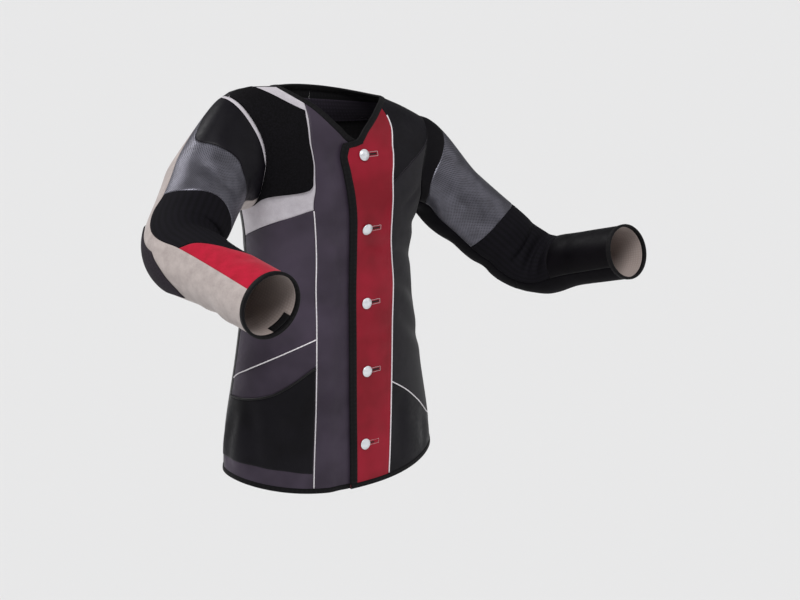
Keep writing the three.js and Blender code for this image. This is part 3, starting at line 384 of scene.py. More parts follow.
def line_across(start, end, curve=None):
    """From one point to another by a curve of t over the angle, which meets both ends."""
    start, end = np.array(start, float), np.array(end, float)

    def point(share):
        angle = start[0] + (end[0] - start[0]) * share
        straight = start[1] + (end[1] - start[1]) * share
        if curve is None:
            return np.stack([angle, straight], -1)
        t = curve(angle)
        t = t + (start[1] - curve(start[0])) * (1 - share) ** 10 + (end[1] - curve(end[0])) * share**10
        return np.stack([angle, t], -1)
    return Edge(point, SPLIT)

# %% Meshes from grids
def add_to_scene(name, data):
    piece = bpy.data.objects.new(name, data)
    bpy.context.scene.collection.objects.link(piece)
    return piece


def add_mesh(name, points, faces, materials, uv=None, material_of=None, smooth=True):
    """A piece from points in millimetres; uv is the cloth's own flat coordinates, one pair for each point."""
    mesh = bpy.data.meshes.new(name)
    mesh.from_pydata((np.asarray(points) * MM).tolist(), [], faces)
    for material in materials:
        mesh.materials.append(material)
    mesh.polygons.foreach_set("use_smooth", np.full(len(mesh.polygons), smooth))
    if material_of is not None:
        mesh.polygons.foreach_set("material_index", np.asarray(material_of, np.int32))
    if uv is not None:
        layer = mesh.uv_layers.new(name="cloth")
        corners = np.zeros(len(mesh.loops), np.int32)
        mesh.loops.foreach_get("vertex_index", corners)
        layer.data.foreach_set("uv", (uv[corners] * MM).astype(np.float32).ravel())
    mesh.update()
    return add_to_scene(name, mesh)


def face_out(mesh):
    work = bmesh.new()
    work.from_mesh(mesh)
    bmesh.ops.recalc_face_normals(work, faces=work.faces)
    work.to_mesh(mesh)
    work.free()


def grid_faces(rows, columns, wrap=False):
    j, i = np.meshgrid(np.arange(rows - 1), np.arange(columns if wrap else columns - 1), indexing="ij")
    after = (i + 1) % columns
    here, above = j * columns, (j + 1) * columns
    return np.stack([here + i, here + after, above + after, above + i], -1).reshape(-1, 4)


def wall_faces(rows, columns, wrap=False):
    """The faces of two skins over one grid, and of the strips that join them along the rims."""
    count, ring = rows * columns, np.arange(columns)
    if wrap:
        last, after = count - columns, (ring + 1) % columns
        rim, onward = np.concatenate([ring, last + after]), np.concatenate([after, last + ring])
    else:
        rim = np.concatenate([ring, (np.arange(1, rows) + 1) * columns - 1, count - 1 - np.arange(1, columns),
                              (rows - 1 - np.arange(1, rows)) * columns])[:-1]
        onward = np.roll(rim, -1)
    skin = grid_faces(rows, columns, wrap)
    sides = np.stack([rim, rim + count, onward + count, onward], -1)
    return np.concatenate([skin, skin[:, ::-1] + count, sides])


def wall(name, domain, middle, normal, outer, inner, materials, scale, wrap=False):
    """A closed wall between two skins: the first material on its outside, the last on the rest."""
    rows, columns = middle.shape[:2]
    faces = wall_faces(rows, columns, wrap)
    outside = len(grid_faces(rows, columns, wrap))
    if np.cross(middle[1, 1] - middle[0, 0], middle[1, 0] - middle[0, 1]) @ normal[0, 0] < 0:
        faces = faces[:, ::-1]
    kinds = (np.arange(len(faces)) >= outside) * (len(materials) - 1)
    points = np.concatenate([outer.reshape(-1, 3), inner.reshape(-1, 3)])
    uv = (domain * scale).reshape(-1, 2)
    return add_mesh(name, points, faces.tolist(), materials, np.concatenate([uv, uv]), kinds)


def edge_fall(points):
    """Distance of each grid point from the patch's nearest rim, in millimetres."""
    across = np.linalg.norm(np.diff(points, axis=1), axis=2)
    down = np.linalg.norm(np.diff(points, axis=0), axis=2)
    zero_column, zero_row = np.zeros((points.shape[0], 1)), np.zeros((1, points.shape[1]))
    from_left = np.hstack([zero_column, np.cumsum(across, 1)])
    from_bottom = np.vstack([zero_row, np.cumsum(down, 0)])
    return from_left, from_left[:, -1:] - from_left, from_bottom, from_bottom[-1:] - from_bottom


def grid_area(points):
    a = points[1:, 1:] - points[:-1, :-1]
    b = points[1:, :-1] - points[:-1, 1:]
    return np.linalg.norm(np.cross(a, b), axis=2).sum() / 2


FLAT_SIZES = {}
ROLL_WIDTH, CROWN_WIDTH, MOST_ROLL = 1.3, 14, 0.7     # the last is a share of the wall


def shell(name, domain, place, low, high, materials, relief=None, roll=0.7, scale=BODY_SCALE, crown=0.0):
    """A wall over a grid of surface points, its outer edges rolled down towards the seams."""
    a, b = domain[..., 0], domain[..., 1]
    p, n = place(a, b)
    falls = edge_fall(p)
    nearest = np.minimum.reduce(falls)
    lift = np.zeros_like(a) if relief is None else relief(a, b)
    top = high + lift - min(roll, (high - low) * MOST_ROLL) * np.exp(-((nearest / ROLL_WIDTH) ** 2))
    if crown:
        top = top + crown * (1 - np.exp(-nearest / CROWN_WIDTH))
    outer = p + n * top[..., None]
    inner = p + n * (low + lift)[..., None]
    FLAT_SIZES[name] = (falls[0].max(), falls[2].max(), grid_area(outer))
    return wall(name, domain, p, n, outer, inner, materials, scale)

# %% [markdown]
# ## The cut pieces of the body
# The right front is four pieces: a centre panel that runs to the front edge, a side, a hip and a suede
# yoke. The left front is three pieces beside a red placket. All of them share their seams, so each seam is
# written once.

# %% Seams of the body
RIGHT, LEFT = ARMS["right"], ARMS["left"]
right_seam = angle_over_t([
    [-27, 0], [-27, 0.23], [-28.5, 0.42], [-30, 0.54], [-29, 0.716], [-24.5, 0.8], [-24.5, 0.9], [-38, 0.96],
    [-55, 1]])
left_seam = angle_over_t([
    [12, 0], [16, 0.17], [22.5, 0.4], [26, 0.5], [24.5, 0.57], [20, 0.67], [16.5, 0.8], [17.5, 0.87],
    [24, 0.925], [39, 0.962], [56, 1]])
front_edge = angle_over_t([[-7, 0], [-7, 0.6], [-8, 0.86], [-12, 0.946]])
chest_band = t_over_angle([[-29, 0.716], [-44, 0.684], [-60, 0.66], [-79, 0.636], [-105, 0.606]])
hip_line = t_over_angle([[-29, 0.396], [-46, 0.368], [-70, 0.328], [-92, 0.292], [-110, 0.262]])
pocket_mouth = t_over_angle([[-29, 0.328], [-44, 0.284], [-58, 0.254], [-80, 0.233], [-110, 0.221]])
pocket_foot = t_over_angle([[-27, 0.056], [-58, 0.062], [-110, 0.052]])
left_curve = t_over_angle([[19, 0.256], [31, 0.218], [43, 0.172], [60, 0.105], [100, 0.05]])
shoulder_cut = t_over_angle([[17, 0.82], [26, 0.858], [40, 0.884], [60, 0.896]])
left_neck = t_over_angle([
    [-12, 0.946], [-7, 0.957], [4, 0.972], [15, 0.985], [38, 0.996], [56, 1], [90, 1]])
SIDE_AT_HEM = {1: 97, -1: -104}
UNDER_K = 200


def side_line(arm):
    top, level = armhole_at(arm, UNDER_K)
    hem = SIDE_AT_HEM[arm["side"]]
    return lambda t: np.stack([hem + (top - hem) * t / level, t + 0 * hem], -1)


def hole_line(arm):
    return lambda k: np.stack(armhole_at(arm, k), -1)


def shoulder_line(arm):
    return lambda t: np.stack([np.full_like(t, 90.0 * arm["side"]), t], -1)


def chain(*parts, turn=0, scale=BODY_SCALE):
    """One edge made of several curves, each with its own stops."""
    starts = np.cumsum([0] + [len(stops) - 1 for _, stops in parts])

    def point(q):
        q = np.asarray(q, float)
        found = np.zeros(q.shape + (2,))
        for (curve, stops), begin, end in zip(parts, starts, starts[1:]):
            inside = (q >= begin) & (q <= end)
            found[inside] = curve(np.interp(q[inside] - begin, np.arange(len(stops)), stops))
        return found + [turn, 0]
    return Edge(point, np.arange(starts[-1] + 1), scale)


SHOULDER = {arm["side"]: [float(armhole_at(arm, 0)[1]), 0.953, 0.985, 1] for arm in ARMS.values()}
LEVEL = {arm["side"]: float(armhole_at(arm, UNDER_K)[1]) for arm in ARMS.values()}
print("side seams end under the arms at t", {side: round(level, 3) for side, level in LEVEL.items()})

# %% Patches of the body
UNDERARM_ROOM, UNDERARM_REACH, UNDERARM_EASE = 0.006, 0.08, 8
NO_LIMIT = 2.0     # a t above every ring


def below_hole(arm):
    """Keeps a patch's inner points under the armhole, softly, so that its rows never cross."""
    under = np.array([np.abs(armhole_at(arm, k)[0]) for k in range(90, UNDER_K + 1, 2)])
    level = np.array([armhole_at(arm, k)[1] for k in range(90, UNDER_K + 1, 2)])
    order = np.argsort(under)

    def keep(points, u):
        angle, t = points[..., 0], points[..., 1]
        limit = np.interp(np.abs(angle), under[order], level[order], left=NO_LIMIT)
        room = UNDERARM_ROOM * np.clip((1 - u) * UNDERARM_EASE, 1e-4, 1)
        soft = limit - room * np.logaddexp(0, np.clip((limit - t) / room, -40, 40))
        near = (t < arm["bottom"] + UNDERARM_REACH) & (limit < NO_LIMIT)
        return np.stack([angle, np.where(near, t + (np.minimum(soft, t) - t), t)], -1)
    return keep


def steps(first, end, count):
    return list(np.linspace(first, end, count + 1))


r_side, l_side = side_line(RIGHT), side_line(LEFT)
r_hole, l_hole = hole_line(RIGHT), hole_line(LEFT)
r_top, l_top = shoulder_line(RIGHT), shoulder_line(LEFT)


def at(curve, value):
    return curve(np.float64(value))


hip_top = line_across(at(right_seam, 0.396), at(r_side, 0.269), hip_line)
chest_top = line_across(at(right_seam, 0.716), at(r_side, 0.611), chest_band)
hip_patch = Patch(line_across(at(right_seam, 0), at(r_side, 0)), hip_top,
                  Edge(right_seam, [0, 0.396]), Edge(r_side, [0, 0.269]))
side_patch = Patch(hip_top, chest_top, Edge(right_seam, [0.396, 0.716]), Edge(r_side, [0.269, 0.611]))
YOKE_STOPS = [0.716, 0.755, *steps(0.755, 0.965, 10)[1:], 0.976, 0.985, 1]
yoke_patch = Patch(
    chest_top, line_across((-55, 1), (-90, 1)), Edge(right_seam, YOKE_STOPS),
    chain((r_side, [0.611, LEVEL[-1]]), (r_hole, steps(UNDER_K, 0, 10)), (r_top, SHOULDER[-1])),
    keep=below_hole(RIGHT))
low_top = line_across(at(left_seam, 0.256), at(l_side, 0.05), left_curve)
low_patch = Patch(line_across(at(left_seam, 0), at(l_side, 0)), low_top,
                  Edge(left_seam, [0, 0.256]), Edge(l_side, [0, 0.05]))
mid_top = line_across(at(left_seam, 0.82), at(l_hole, 40), shoulder_cut)
mid_patch = Patch(low_top, mid_top, Edge(left_seam, steps(0.256, 0.82, 16)),
                  chain((l_side, steps(0.05, LEVEL[1], 8)), (l_hole, steps(UNDER_K, 40, 8))),
                  keep=below_hole(LEFT))
upper_patch = Patch(mid_top, line_across((56, 1), (90, 1)),
                    Edge(left_seam, [0.82, 0.86, 0.9, 0.945, 0.982, 1]),
                    chain((l_hole, [40, 20, 0]), (l_top, SHOULDER[1])))
back_left_edge = chain((l_side, [0, *steps(0.0125, 0.05, 4), *steps(0.05, LEVEL[1], 8)[1:]]),
                       (l_hole, steps(UNDER_K, 360, 8)), (l_top, SHOULDER[1]))
back_right_edge = chain(
    (r_side, [0, 0.0125, 0.053, *steps(0.053, 0.222, 4)[1:], *steps(0.269, 0.611, 5), LEVEL[-1]]),
    (r_hole, steps(UNDER_K, 360, 8)), (r_top, SHOULDER[-1]), turn=360)
back_patch = Patch(Edge(line_across((97, 0), (256, 0)).curve, [0, 1]),
                   Edge(line_across((90, 1), (270, 1)).curve, [0, 1]), back_left_edge, back_right_edge)
print("the yoke is", [round(mm) for mm in yoke_patch.size(on_body)], "mm across and up")

# %% The two front strips
RIGHT_EDGE, NECK_DIP = 8, 0.036     # an angle, and a share of t
CORNER_T, CORNER_RISE = 0.946, 0.054
edge_strip = angle_over_t([[-3.5, 0], [-3, 0.232], [-2, 0.58], [-3.4, 0.86], [-6.5, 0.95]])


class Strip(Patch):
    """A long strip beside a seam: y is t on the seam, and x runs from one side to the other."""

    def __init__(self, rule):
        self.rule = rule

    def __call__(self, x, y):
        return self.rule(x, y)

    def places(self, shares, ends):
        return shares


def centre_rule(x, y):
    angle = right_seam(y)[..., 0]
    dip = NECK_DIP * ease((y - 0.7) / 0.3) * ease(1 - x)
    return np.stack([RIGHT_EDGE + (angle - RIGHT_EDGE) * x, y - dip], -1)


def placket_rule(x, y):
    seam_angle = left_seam(y)[..., 0]
    drop = CORNER_RISE * ease((y - 0.6) / 0.4)
    edge = front_edge(y - drop)
    strip = edge_strip(np.minimum(y - drop, 0.95))[..., 0]
    angle = edge[..., 0] + (seam_angle - edge[..., 0]) * x
    share = (angle - strip) / (seam_angle - strip)

    def rise(part):
        return (left_neck(strip + (56 - strip) * part) - CORNER_T) / CORNER_RISE
    before = np.clip((angle - edge[..., 0]) / np.maximum(strip - edge[..., 0], 1e-6), 0, 1) * rise(0)
    climbed = np.where(share < 0, before, rise(np.clip(share, 0, 1)))
    return np.stack([angle, edge[..., 1] + (y - edge[..., 1]) * climbed], -1)


centre_patch, placket_patch = Strip(centre_rule), Strip(placket_rule)
print("the red placket is", [round(mm) for mm in placket_patch.size(on_body)], "mm across and up")

# %% [markdown]
# ## The cut pieces of the sleeves
# From the armhole down, a sleeve has a leather cap, a band of silver mesh, a stretch elbow and a forearm
# panel. They lie on the outside of the arm. Under the arm runs a softer piece, cut in two at the elbow.

# %% Seams of the sleeves
def k_over_s(rows):
    seam_table = table("k s", rows)
    return lambda s: np.stack([along(seam_table, "k", s, "s"), np.asarray(s, float)], -1)


def s_over_k(rows):
    seam_table = table("k s", rows)
    return lambda k: along(seam_table, "s", k, "k")


PLANS = {
    "right": dict(
        behind=k_over_s([[-20, 0], [-20, 0.08], [-20, 0.345], [-31, 0.41], [-28, 0.48], [-17, 0.57],
                         [-14, 0.635], [-14, 0.83], [-16, 1]]),
        under=k_over_s([[140, 0], [138, 0.2], [140, 0.4], [140, 0.7], [136, 1]]),
        seams=[s_over_k([[-20, 0.04], [-12, 0.08], [0, 0.128], [32, 0.13], [64, 0.125], [84, 0.145],
                         [140, 0.18]]),
               s_over_k([[-20, 0.345], [18, 0.338], [52, 0.315], [72, 0.313], [100, 0.328], [140, 0.35]]),
               s_over_k([[-14, 0.635], [8, 0.665], [28, 0.725], [44, 0.785], [70, 0.83], [100, 0.85],
                         [140, 0.86]])],
        counts=[2, 2, 7, 3], elbow_row=6),
    "left": dict(
        behind=k_over_s([[-20, 0], [-20, 1]]),
        under=k_over_s([[140, 0], [134, 0.1], [134, 0.2], [142, 0.34], [140, 0.7], [136, 1]]),
        seams=[s_over_k([[-20, 0.06], [20, 0.06], [50, 0.056], [76, 0.042], [140, 0.028]]),
               s_over_k([[-20, 0.34], [21, 0.33], [62, 0.315], [98, 0.308], [140, 0.3]]),
               s_over_k([[-20, 0.66], [60, 0.66], [140, 0.66]])],
        counts=[1, 3, 7, 3], elbow_row=7),
}
UPPERS = ["cap", "band", "elbow", "forearm"]


def cut_sleeve(plan):
    """The four upper patches and the one under the arm, with stops that neighbours share."""
    seams = [lambda k: 0 * k, *plan["seams"], lambda k: 0 * k + 1]
    corners = [(at(plan["behind"], at(s, -20)), at(plan["under"], at(s, 140))) for s in seams]
    lines = [Edge(line_across(a, b, s).curve, np.linspace(0, 1, 9), SLEEVE_SCALE)
             for (a, b), s in zip(corners, seams)]
    patches, behind, under = {}, [corners[0][0][1]], [corners[0][1][1]]
    for i, count in enumerate(plan["counts"]):
        rows = [steps(corners[i][c][1], corners[i + 1][c][1], count) for c in (0, 1)]
        patches[UPPERS[i]] = Patch(lines[i], lines[i + 1], Edge(plan["behind"], rows[0], SLEEVE_SCALE),
                                   Edge(plan["under"], rows[1], SLEEVE_SCALE))
        behind += rows[0][1:]
        under += rows[1][1:]
    first, end = ((at(plan["under"], s), at(plan["behind"], s) + [360, 0]) for s in (0, 1))
    patches["under"] = Patch(
        Edge(line_across(*first).curve, np.linspace(0, 1, 11), SLEEVE_SCALE),
        Edge(line_across(*end).curve, np.linspace(0, 1, 11), SLEEVE_SCALE),
        Edge(plan["under"], under, SLEEVE_SCALE),
        Edge(lambda s: plan["behind"](s) + [360, 0], behind, SLEEVE_SCALE))
    return patches


CUT = {name: cut_sleeve(plan) for name, plan in PLANS.items()}
ON_ARM = {name: on_sleeve(name) for name in ARMS}
for name, patches in CUT.items():
    print(name, "elbow piece", [round(mm) for mm in patches["elbow"].size(ON_ARM[name])], "mm")

# %% [markdown]
# ## Materials
# Leather, suede, knit and tape differ mostly in how their surface breaks up light: a grain, a nap, a rib or
# a weave. Each is a small network of nodes over the Principled shader, with its scale worked out from
# millimetres.

# %% Node helpers
def linear(code):
    """An sRGB hex colour as linear red, green, blue and alpha."""
    channels = [int(code[i:i + 2], 16) / 255 for i in (1, 3, 5)]
    return (*(c / 12.92 if c <= 0.04045 else ((c + 0.055) / 1.055) ** 2.4 for c in channels), 1)


def add_node(tree, kind, inputs=None, **settings):
    """A node with its settings; an input is a value or another node's output."""
    node = tree.nodes.new(kind)
    for key, value in settings.items():
        setattr(node, key, value)
    for key, value in (inputs or {}).items():
        if isinstance(value, bpy.types.NodeSocket):
            tree.links.new(value, node.inputs[key])
        else:
            node.inputs[key].default_value = value
    return node


def per_mm(size):
    """Texture scale, in features per metre, for a feature of this size in millimetres."""
    return 1000 / size


def start_material(name, roughness, **sockets):
    material = bpy.data.materials.new(name)
    material.use_nodes = True
    tree = material.node_tree
    tree.nodes.clear()
    shader = add_node(tree, "ShaderNodeBsdfPrincipled", {"Roughness": roughness, **sockets})
    add_node(tree, "ShaderNodeOutputMaterial", {"Surface": shader.outputs[0]})
    where = add_node(tree, "ShaderNodeTexCoord").outputs["Object"]
    return material, tree, shader, where


def two_tones(tree, value, low, high, first, second):
    """A colour that goes from one tone to the other as a value goes from low to high."""
    spread = {"Value": value, "From Min": low, "From Max": high}
    share = add_node(tree, "ShaderNodeMapRange", spread).outputs[0]
    tones = {"Factor": share, "A": linear(first), "B": linear(second)}
    return add_node(tree, "ShaderNodeMix", tones, data_type="RGBA").outputs["Result"]


def finish(tree, shader, colour, bumps, roughness=None):
    """Joins the colour and a chain of bumps, each with its height, strength and depth in millimetres."""
    tree.links.new(colour, shader.inputs["Base Color"])
    if roughness is not None:
        tree.links.new(roughness, shader.inputs["Roughness"])
    normal = None
    for height, strength, depth in bumps:
        inputs = {"Height": height, "Strength": strength, "Distance": depth * MM}
        if normal is not None:
            inputs["Normal"] = normal
        normal = add_node(tree, "ShaderNodeBump", inputs).outputs[0]
    if normal is not None:
        tree.links.new(normal, shader.inputs["Normal"])

# %% Leather, suede and moulded grip
def leather(name, dark, light, roughness=0.46, specular=0.5, grain=1.6):
    """Finished leather, sprayed and plated: a fine pebble grain and slow changes of tone."""
    material, tree, shader, where = start_material(name, roughness, **{"Specular IOR Level": specular})
    cloud = add_node(tree, "ShaderNodeTexNoise", {"Vector": where, "Scale": per_mm(70), "Detail": 2,
                                                  "Roughness": 0.55}).outputs["Fac"]
    wrinkle = add_node(tree, "ShaderNodeTexNoise", {"Vector": where, "Scale": per_mm(6), "Detail": 4,
                                                    "Roughness": 0.55}).outputs["Fac"]
    rub = add_node(tree, "ShaderNodeTexNoise", {"Vector": where, "Scale": per_mm(9), "Detail": 3,
                                                "Roughness": 0.55}).outputs["Fac"]
    pebble = add_node(tree, "ShaderNodeTexVoronoi", {"Vector": where, "Scale": per_mm(grain)},
                      feature="SMOOTH_F1").outputs["Distance"]
    spread = {"Value": rub, "From Min": 0.3, "From Max": 0.7, "To Min": roughness - 0.06,
              "To Max": roughness + 0.08}
    shine = add_node(tree, "ShaderNodeMapRange", spread).outputs[0]
    colour = two_tones(tree, cloud, 0.35, 0.65, dark, light)
    finish(tree, shader, colour, [(wrinkle, 0.35, 0.5), (pebble, 0.3, 0.12)], shine)
    return material


def suede(name, dark, light, sheen=0.25, specular=0.2):
    """Suede, the brushed inner side of the hide: a short nap that lies now one way, now the other."""
    sockets = {"Sheen Weight": sheen, "Sheen Roughness": 0.5, "Specular IOR Level": specular}
    material, tree, shader, where = start_material(name, 0.92, **sockets)
    nap = add_node(tree, "ShaderNodeTexNoise", {"Vector": where, "Scale": per_mm(16), "Detail": 4,
                                                "Roughness": 0.65}).outputs["Fac"]
    fibre = add_node(tree, "ShaderNodeTexNoise", {"Vector": where, "Scale": per_mm(0.9), "Detail": 3,
                                                  "Roughness": 0.7}).outputs["Fac"]
    both = add_node(tree, "ShaderNodeMath", {0: nap, 1: fibre}, operation="ADD").outputs[0]
    colour = two_tones(tree, both, 0.75, 1.25, dark, light)
    finish(tree, shader, colour, [(nap, 0.2, 0.4), (fibre, 0.5, 0.15)])
    return material


def moulded(name, dark, light, pebble_mm):
    """Grip rubber, moulded with a pebbled face that holds a rifle butt or an elbow."""
    material, tree, shader, where = start_material(name, 0.8, **{"Specular IOR Level": 0.12})
    pebble = add_node(tree, "ShaderNodeTexVoronoi", {"Vector": where, "Scale": per_mm(pebble_mm)},
                      feature="F1").outputs["Distance"]
    wave = add_node(tree, "ShaderNodeTexNoise", {"Vector": where, "Scale": per_mm(12), "Detail": 3,
                                                 "Roughness": 0.55}).outputs["Fac"]
    colour = two_tones(tree, pebble, 0.1, 0.7, light, dark)
    finish(tree, shader, colour, [(wave, 0.25, 0.5), (pebble, 0.7, 0.35)])
    return material


# %% Woven, knitted and metal finishes
WAVES = 20 / (2 * math.pi)     # stripes of a wave texture in one unit, at a scale of 1


def woven(name, dark, light, pitch_mm, roughness=0.85, sheen=0.1, bump=0.5):
    """A coarse weave on the piece's own flat coordinates: two sets of stripes that cross at a pitch."""
    sockets = {"Sheen Weight": sheen, "Specular IOR Level": 0.15}
    material, tree, shader, where = start_material(name, roughness, **sockets)
    flat = add_node(tree, "ShaderNodeUVMap", uv_map="cloth").outputs[0]
    threads = []
    for direction in ("X", "Y"):
        inputs = {"Vector": flat, "Scale": per_mm(pitch_mm) / WAVES, "Distortion": 0.4}
        threads.append(add_node(tree, "ShaderNodeTexWave", inputs, bands_direction=direction).outputs["Fac"])
    cross = add_node(tree, "ShaderNodeMath", {0: threads[0], 1: threads[1]}, operation="MULTIPLY").outputs[0]
    patchy = add_node(tree, "ShaderNodeTexNoise", {"Vector": where, "Scale": per_mm(40), "Detail": 3,
                                                   "Roughness": 0.55}).outputs["Fac"]
    both = add_node(tree, "ShaderNodeMath", {0: cross, 1: patchy}, operation="ADD").outputs[0]
    finish(tree, shader, two_tones(tree, both, 0.3, 1.1, dark, light), [(cross, bump, pitch_mm * 0.048)])
    return material


def ribbed(name, dark, light, rib_mm):
    """Stretch knit: matt ribs along the piece."""
    material, tree, shader, where = start_material(name, 0.85, **{"Specular IOR Level": 0.12})
    flat = add_node(tree, "ShaderNodeUVMap", uv_map="cloth").outputs[0]
    inputs = {"Vector": flat, "Scale": per_mm(rib_mm) / WAVES, "Distortion": 0.8, "Detail": 2.0}
    rib = add_node(tree, "ShaderNodeTexWave", inputs, bands_direction="X").outputs["Fac"]
    patchy = add_node(tree, "ShaderNodeTexNoise", {"Vector": where, "Scale": per_mm(26), "Detail": 3,
                                                   "Roughness": 0.55}).outputs["Fac"]
    both = add_node(tree, "ShaderNodeMath", {0: rib, 1: patchy}, operation="ADD").outputs[0]
    colour = two_tones(tree, both, 0.4, 1.3, dark, light)
    finish(tree, shader, colour, [(patchy, 0.3, 0.8), (rib, 0.25, rib_mm * 0.024)])
    return material


def perforated(name, dark, light, hole, pitch_mm):
    """Coated mesh with a soft metallic face, pierced by staggered rows of small holes."""
    material, tree, shader, where = start_material(name, 0.4, Metallic=0.75)
    flat = add_node(tree, "ShaderNodeUVMap", uv_map="cloth").outputs[0]
    askew = {"Vector": flat, "Rotation": (0, 0, math.radians(45))}
    turned = add_node(tree, "ShaderNodeMapping", askew).outputs[0]
    inputs = {"Vector": turned, "Scale": per_mm(pitch_mm), "Randomness": 0.0}
    cell = add_node(tree, "ShaderNodeTexVoronoi", inputs, voronoi_dimensions="2D").outputs["Distance"]
    spread = {"Value": cell, "From Min": 0.22, "From Max": 0.3}
    solid = add_node(tree, "ShaderNodeMapRange", spread).outputs[0]
    cloud = add_node(tree, "ShaderNodeTexNoise", {"Vector": where, "Scale": per_mm(22), "Detail": 3,
                                                  "Roughness": 0.55}).outputs["Fac"]
    dent = add_node(tree, "ShaderNodeTexNoise", {"Vector": where, "Scale": per_mm(14), "Detail": 3,
                                                 "Roughness": 0.55}).outputs["Fac"]
    parts = {"Factor": solid, "A": linear(hole), "B": two_tones(tree, cloud, 0.35, 0.65, dark, light)}
    colour = add_node(tree, "ShaderNodeMix", parts, data_type="RGBA").outputs["Result"]
    finish(tree, shader, colour, [(dent, 0.2, 0.6), (solid, 0.8, 0.3)])
    return material


def plated(name, dark, light):
    """Snap-button metal, stamped and plated: bright, with a faint orange-peel from the die."""
    material, tree, shader, where = start_material(name, 0.36, Metallic=0.5)
    cloud = add_node(tree, "ShaderNodeTexNoise", {"Vector": where, "Scale": per_mm(5), "Detail": 2,
                                                  "Roughness": 0.55}).outputs["Fac"]
    peel = add_node(tree, "ShaderNodeTexNoise", {"Vector": where, "Scale": per_mm(2.2), "Detail": 2,
                                                 "Roughness": 0.55}).outputs["Fac"]
    shine = add_node(tree, "ShaderNodeMapRange", {"Value": cloud, "From Min": 0.3, "From Max": 0.7,
                                                  "To Min": 0.32, "To Max": 0.46}).outputs[0]
    finish(tree, shader, two_tones(tree, cloud, 0, 1, dark, light), [(peel, 0.12, 0.08)], shine)
    return material


M = {
    "grey_leather": leather("grey finished leather", "#342c38", "#413846", specular=0.22),
    "black_leather": leather("black finished leather", "#0a080d", "#121016", 0.44, 0.14),
    "red_leather": leather("red finished leather", "#7f0a1d", "#970f28", 0.4, 0.22),
    "red_suede": suede("red suede", "#9c0423", "#b80c31", 0.1),
    "white_suede": suede("white suede", "#b5afb6", "#cbc6cc"),
    "beige_suede": suede("beige suede", "#9d928f", "#b9aeaa"),
    "black_suede": suede("black suede", "#121015", "#1e1b21", 0.12),
    "grip_rubber": moulded("black grip rubber", "#040305", "#0f0d12", 2.4),
    "silver_mesh": perforated("perforated silver mesh", "#5d5c64", "#6d6c76", "#1d1c21", 2.4),
    "stretch_cloth": ribbed("black stretch knit", "#0a090d", "#100e14", 10.05),
    "black_binding": woven("black binding tape", "#070608", "#100f11", 8.17, 0.7, 0.02),
    "white_piping": woven("white cord piping", "#d6d1d6", "#f0ecef", 7.54, 0.6),
    "cream_lining": woven("cream twill lining", "#9c8f8a", "#aa9d98", 5.65, bump=0.25),
    "grey_lining": woven("grey twill lining", "#2e2933", "#3b3441", 5.65, bump=0.25),
    "button_metal": plated("satin plated metal", "#dde1e6", "#f2f5f8"),
    "dark_lining": woven("black twill lining", "#0e0d10", "#151317", 7.54),
    "elbow_rubber": moulded("charcoal grip rubber", "#241f24", "#37313a", 1.8),
    # Darker copies of the black suede and black leather, used on the left sleeve's pieces.
    "sleeve_suede": suede("darker black suede for the left sleeve", "#060508", "#0f0d12", 0.02, 0.06),
    "sleeve_leather": leather("darker black leather for the left sleeve", "#050407", "#0b090d", 0.5, 0.1),
    # This dark material is also the painted shade of the buttonhole slits, further down.
    "turned_edge_and_slit_shade": leather("black turned leather edge and painted slit shade", "#050406", "#0b090c", 0.5, 0.3),
}
print(len(M), "materials")

# %% [markdown]
# ## Sewing the panels
# Every panel is one call: its patch, the surface that it lies on, its wall and its finish. The creases are
# placed where a filled, buttoned jacket buckles: across the waist, inside the elbow and at the hip.

# %% One call for a panel
SHEET_HALF = 1.0       # half a panel's wall


def declare(piece, node):
    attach(piece, "root")
    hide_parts(node)


def panel(node, slot, patch, place, step=5.0, rows=(), part=(0, 1, 0, 1), scale=BODY_SCALE, low=-SHEET_HALF,
          high=SHEET_HALF, lining="dark_lining", roll=0.9, crown=0.0, finish_name=None):
    """A cut piece: part of a patch, with rows of creases, from one height over the surface to another."""
    def relief(a, b):
        return creases(a, b, rows, scale)
    materials = [M[finish_name or slot], M[lining]]
    piece = shell(f"{node}_cloth", patch.grid(place, step, part), place, low, high, materials,
                  relief if rows else None, roll, scale, crown)
    declare(piece, node)


